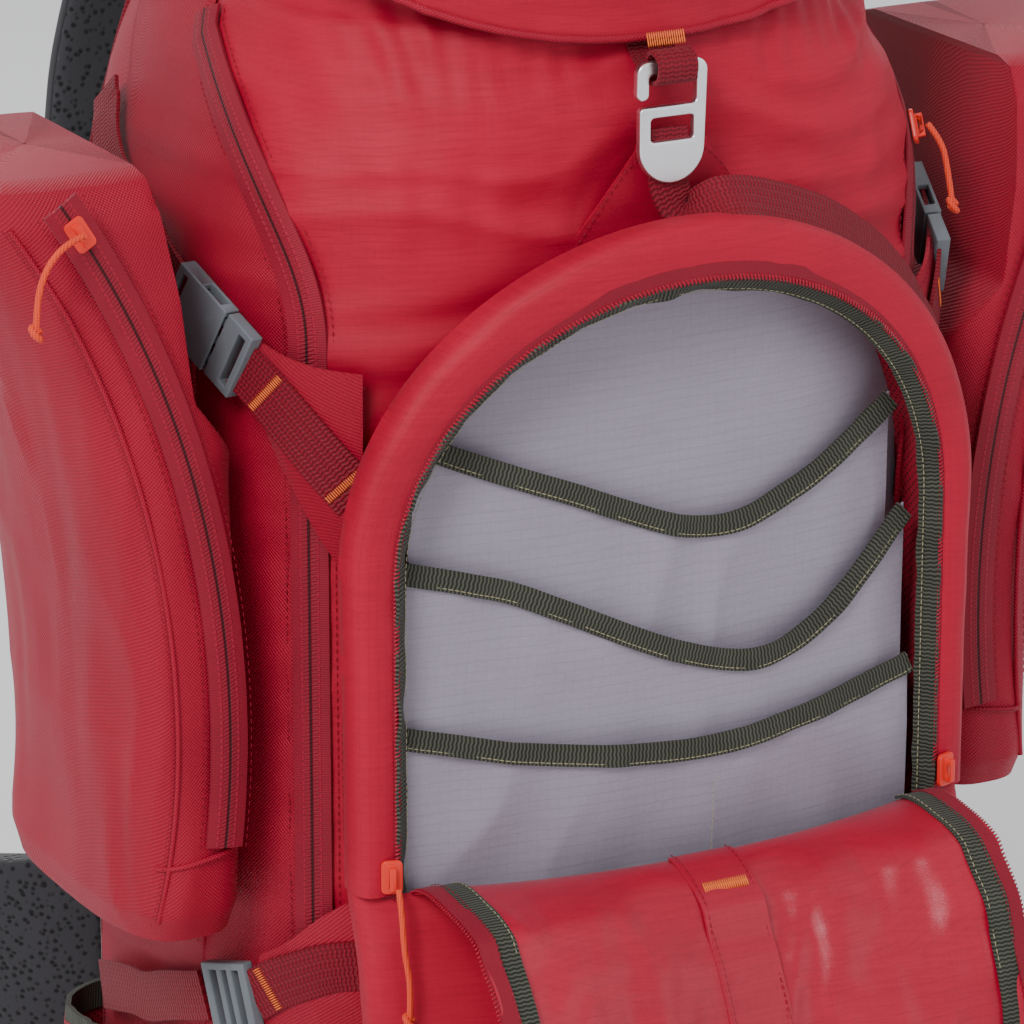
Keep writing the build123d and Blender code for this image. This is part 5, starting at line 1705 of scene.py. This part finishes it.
# ------------------------------------------------------------------ pull cords
def build_pulls():
    """Free pull cords of three zip sliders, each with a knot at its end."""
    slider_x = OPENING_HALF + 4.0
    near = -RIM_FRONT + RIM_CURVE * slider_x ** 2 - 4.6 - 5.6
    low = OPENING_BASE + 8.0
    pocket_x = -pocket_half(532.0)
    level = ZIP_BASE + (ZIP_TOP - ZIP_BASE) * 14 / 16
    at, out = body_point(zip_turn(level), level, 6.1)
    top = at + out * 5.4
    cords = {
        "left_front_pull": [(-slider_x, near, low - 3), (-slider_x - 0.6, near - 4, low - 12),
                            (-slider_x - 1.4, near - 7, low - 25), (-slider_x + 0.4, near - 9, low - 39),
                            (-slider_x - 0.8, near - 9.6, low - 53)],
        "left_pocket_pull": [(pocket_x - 1, -93.7, 533), (pocket_x - 9, -96.7, 532), (pocket_x - 17, -97.7, 525),
                             (pocket_x - 21, -96.7, 513), (pocket_x - 22, -97.7, 500)],
        "right_main_pull": [tuple(top), tuple(top + out * 4 + (0, -3, -7)), tuple(top + out * 6 + (0, -4, -17)),
                            tuple(top + out * 6.4 + (0, -8, -33))],
    }
    bodies = {"left_front_pull": "left_front_slider", "left_pocket_pull": "left_pocket_slider",
              "right_main_pull": "right_main_slider"}
    for node, points in cords.items():
        curve = bpy.data.curves.new(node + "_cord", "CURVE")
        curve.dimensions = "3D"
        curve.bevel_depth = 1.2 * MM
        curve.bevel_resolution = 4
        curve.use_fill_caps = True
        spline = curve.splines.new("NURBS")
        spline.points.add(len(points) - 1)
        for point, place in zip(spline.points, points):
            point.co = (*(float(c) * MM for c in place), 1.0)
        spline.order_u = 3
        spline.use_endpoint_u = True
        spline.resolution_u = 12
        curve.materials.append(PALETTE["cord"])
        cord = finished(placed(node + "_cord", curve), "cord", bodies[node])
        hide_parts(node)
        end = np.array(points[-1]) + (0, 0, 1.0)
        knot = tube_piece(node + "_knot", [end + (1.5 * math.cos(t), 1.5 * math.sin(t), 2.2 * math.sin(t * 0.75))
                                           for t in np.linspace(0, 2.6 * math.pi, 40)], 1.25, "cord",
                          body=bodies[node], slot="cord")
        length = nurbs_length(points)
        [float(c) * MM for c in points[0]]


def nurbs_length(points):
    """Length of the quadratic curve that a cord's points make."""
    points = np.array(points, float)
    total = 0.0
    for i in range(1, len(points) - 1):
        start = points[0] if i == 1 else (points[i - 1] + points[i]) / 2
        end = points[-1] if i == len(points) - 2 else (points[i] + points[i + 1]) / 2
        t = np.linspace(0, 1, 60)[:, None]
        total += line_length((1 - t) ** 2 * start + 2 * t * (1 - t) * points[i] + t ** 2 * end)
    return total


# ------------------------------------------------------------------ stage
CAMERA_PLACE = (-0.965, -1.817, 1.039)
CAMERA_AIM = (-0.072, -0.1376, 0.421)
CAMERA_LENS = 193.4
LAMPS_AIM = (0, 0, 0.35)
LAMPS = (("key", (-1.9, -1.6, 2.3), 0.9, 66.0), ("fill", (1.9, -2.2, 1.2), 1.8, 8.0),
         ("rear", (0.6, 2.0, 2.2), 1.6, 24.0))


def aim(piece, place, target):
    """Sets a lamp or camera at a place and turns it to a target."""
    piece.location = place
    piece.rotation_euler = (Vector(target) - Vector(place)).to_track_quat("-Z", "Y").to_euler()


def build_stage():
    """Pale floor, soft studio lights and the camera."""
    floor = bpy.data.meshes.new("floor")
    floor.from_pydata([(-4, -4, -0.002), (4, -4, -0.002), (4, 4, -0.002), (-4, 4, -0.002)], [], [(0, 1, 2, 3)])
    pale = Finish("FloorPaper", 0.8)
    grain = pale.grain(3.0, 3.0)
    pale.colour(pale.mix(grain, (0.68, 0.68, 0.68), (0.74, 0.74, 0.74)))
    floor.materials.append(pale.material)
    staged = [placed("floor", floor)]
    for name, place, size, power in LAMPS:
        light = bpy.data.lights.new(name, "AREA")
        light.size = size
        light.energy = power
        lamp = placed(name, light)
        aim(lamp, place, LAMPS_AIM)
        staged.append(lamp)
    world = bpy.data.worlds.new("studio")
    world.use_nodes = True
    sky = world.node_tree.nodes["Background"].inputs
    sky["Color"].default_value, sky["Strength"].default_value = (0.86, 0.87, 0.90, 1), 1.0
    bpy.context.scene.world = world
    view = bpy.data.cameras.new("camera")
    view.lens = CAMERA_LENS
    view.sensor_width = 36.0
    camera = placed("camera", view)
    aim(camera, CAMERA_PLACE, CAMERA_AIM)
    bpy.context.scene.camera = camera


# ------------------------------------------------------------------ operators and panel
class BACKPACK_OT_bag(bpy.types.Operator):
    """Builds the main bag's cloth, base and zips"""

    bl_idname = "backpack.bag"
    bl_label = "Bag"

    def execute(self, context):
        build_bag(context.scene.backpack)
        return {"FINISHED"}


class BACKPACK_OT_side_pockets(bpy.types.Operator):
    """Builds the side pockets"""

    bl_idname = "backpack.side_pockets"
    bl_label = "Side pockets"

    def execute(self, context):
        build_side_pockets()
        return {"FINISHED"}


class BACKPACK_OT_front_pocket(bpy.types.Operator):
    """Builds the open front pocket"""

    bl_idname = "backpack.front_pocket"
    bl_label = "Front pocket"

    def execute(self, context):
        build_front_pocket()
        return {"FINISHED"}


class BACKPACK_OT_front_zip(bpy.types.Operator):
    """Builds the opening's zip and binding"""

    bl_idname = "backpack.front_zip"
    bl_label = "Front zip"

    def execute(self, context):
        build_front_zip(context.scene.backpack)
        return {"FINISHED"}


class BACKPACK_OT_flap(bpy.types.Operator):
    """Builds the open flap"""

    bl_idname = "backpack.flap"
    bl_label = "Flap"

    def execute(self, context):
        build_flap(context.scene.backpack)
        return {"FINISHED"}


class BACKPACK_OT_straps(bpy.types.Operator):
    """Builds the straps and their tabs"""

    bl_idname = "backpack.straps"
    bl_label = "Straps"

    def execute(self, context):
        build_straps(context.scene.backpack)
        return {"FINISHED"}


class BACKPACK_OT_fittings(bpy.types.Operator):
    """Builds buckles, hook and sliders"""

    bl_idname = "backpack.fittings"
    bl_label = "Fittings"

    def execute(self, context):
        build_fittings()
        return {"FINISHED"}


class BACKPACK_OT_lid(bpy.types.Operator):
    """Builds the lid and collar"""

    bl_idname = "backpack.lid"
    bl_label = "Lid"

    def execute(self, context):
        build_lid()
        return {"FINISHED"}


class BACKPACK_OT_harness(bpy.types.Operator):
    """Builds the carrying harness"""

    bl_idname = "backpack.harness"
    bl_label = "Harness"

    def execute(self, context):
        build_harness()
        return {"FINISHED"}


class BACKPACK_OT_pulls(bpy.types.Operator):
    """Builds the pull cords"""

    bl_idname = "backpack.pulls"
    bl_label = "Pulls"

    def execute(self, context):
        build_pulls()
        return {"FINISHED"}


class BACKPACK_OT_stage(bpy.types.Operator):
    """Builds floor, lights and camera"""

    bl_idname = "backpack.stage"
    bl_label = "Stage"

    def execute(self, context):
        build_stage()
        return {"FINISHED"}


OPERATORS = [
    BACKPACK_OT_bag, BACKPACK_OT_side_pockets, BACKPACK_OT_front_pocket, BACKPACK_OT_front_zip,
    BACKPACK_OT_flap, BACKPACK_OT_straps, BACKPACK_OT_fittings, BACKPACK_OT_lid, BACKPACK_OT_harness,
    BACKPACK_OT_pulls, BACKPACK_OT_stage,
]


class BACKPACK_PT_panel(bpy.types.Panel):
    """Sidebar panel with the settings and one button for each group."""

    bl_label = "Backpack"
    bl_idname = "BACKPACK_PT_panel"
    bl_space_type = "VIEW_3D"
    bl_region_type = "UI"
    bl_category = "Backpack"

    def draw(self, context):
        for key in BackpackSettings.__annotations__:
            self.layout.prop(context.scene.backpack, key)
        for operator in OPERATORS:
            self.layout.operator(operator.bl_idname)


CLASSES = [BackpackSettings, *OPERATORS, BACKPACK_PT_panel]


def register():
    """Registers the settings, operators and panel."""
    for one in CLASSES:
        bpy.utils.register_class(one)
    bpy.types.Scene.backpack = PointerProperty(type=BackpackSettings)


def unregister():
    """Removes them again."""
    del bpy.types.Scene.backpack
    for one in reversed(CLASSES):
        bpy.utils.unregister_class(one)


def main():
    """Builds the whole backpack."""
    register()
    make_palette(bpy.context.scene.backpack)
    for operator in OPERATORS:
        group, name = operator.bl_idname.split(".")
        getattr(getattr(bpy.ops, group), name)()
    for part in PARTS.values():
        bpy.data.objects.remove(part)


if __name__ == "__main__":
    main()
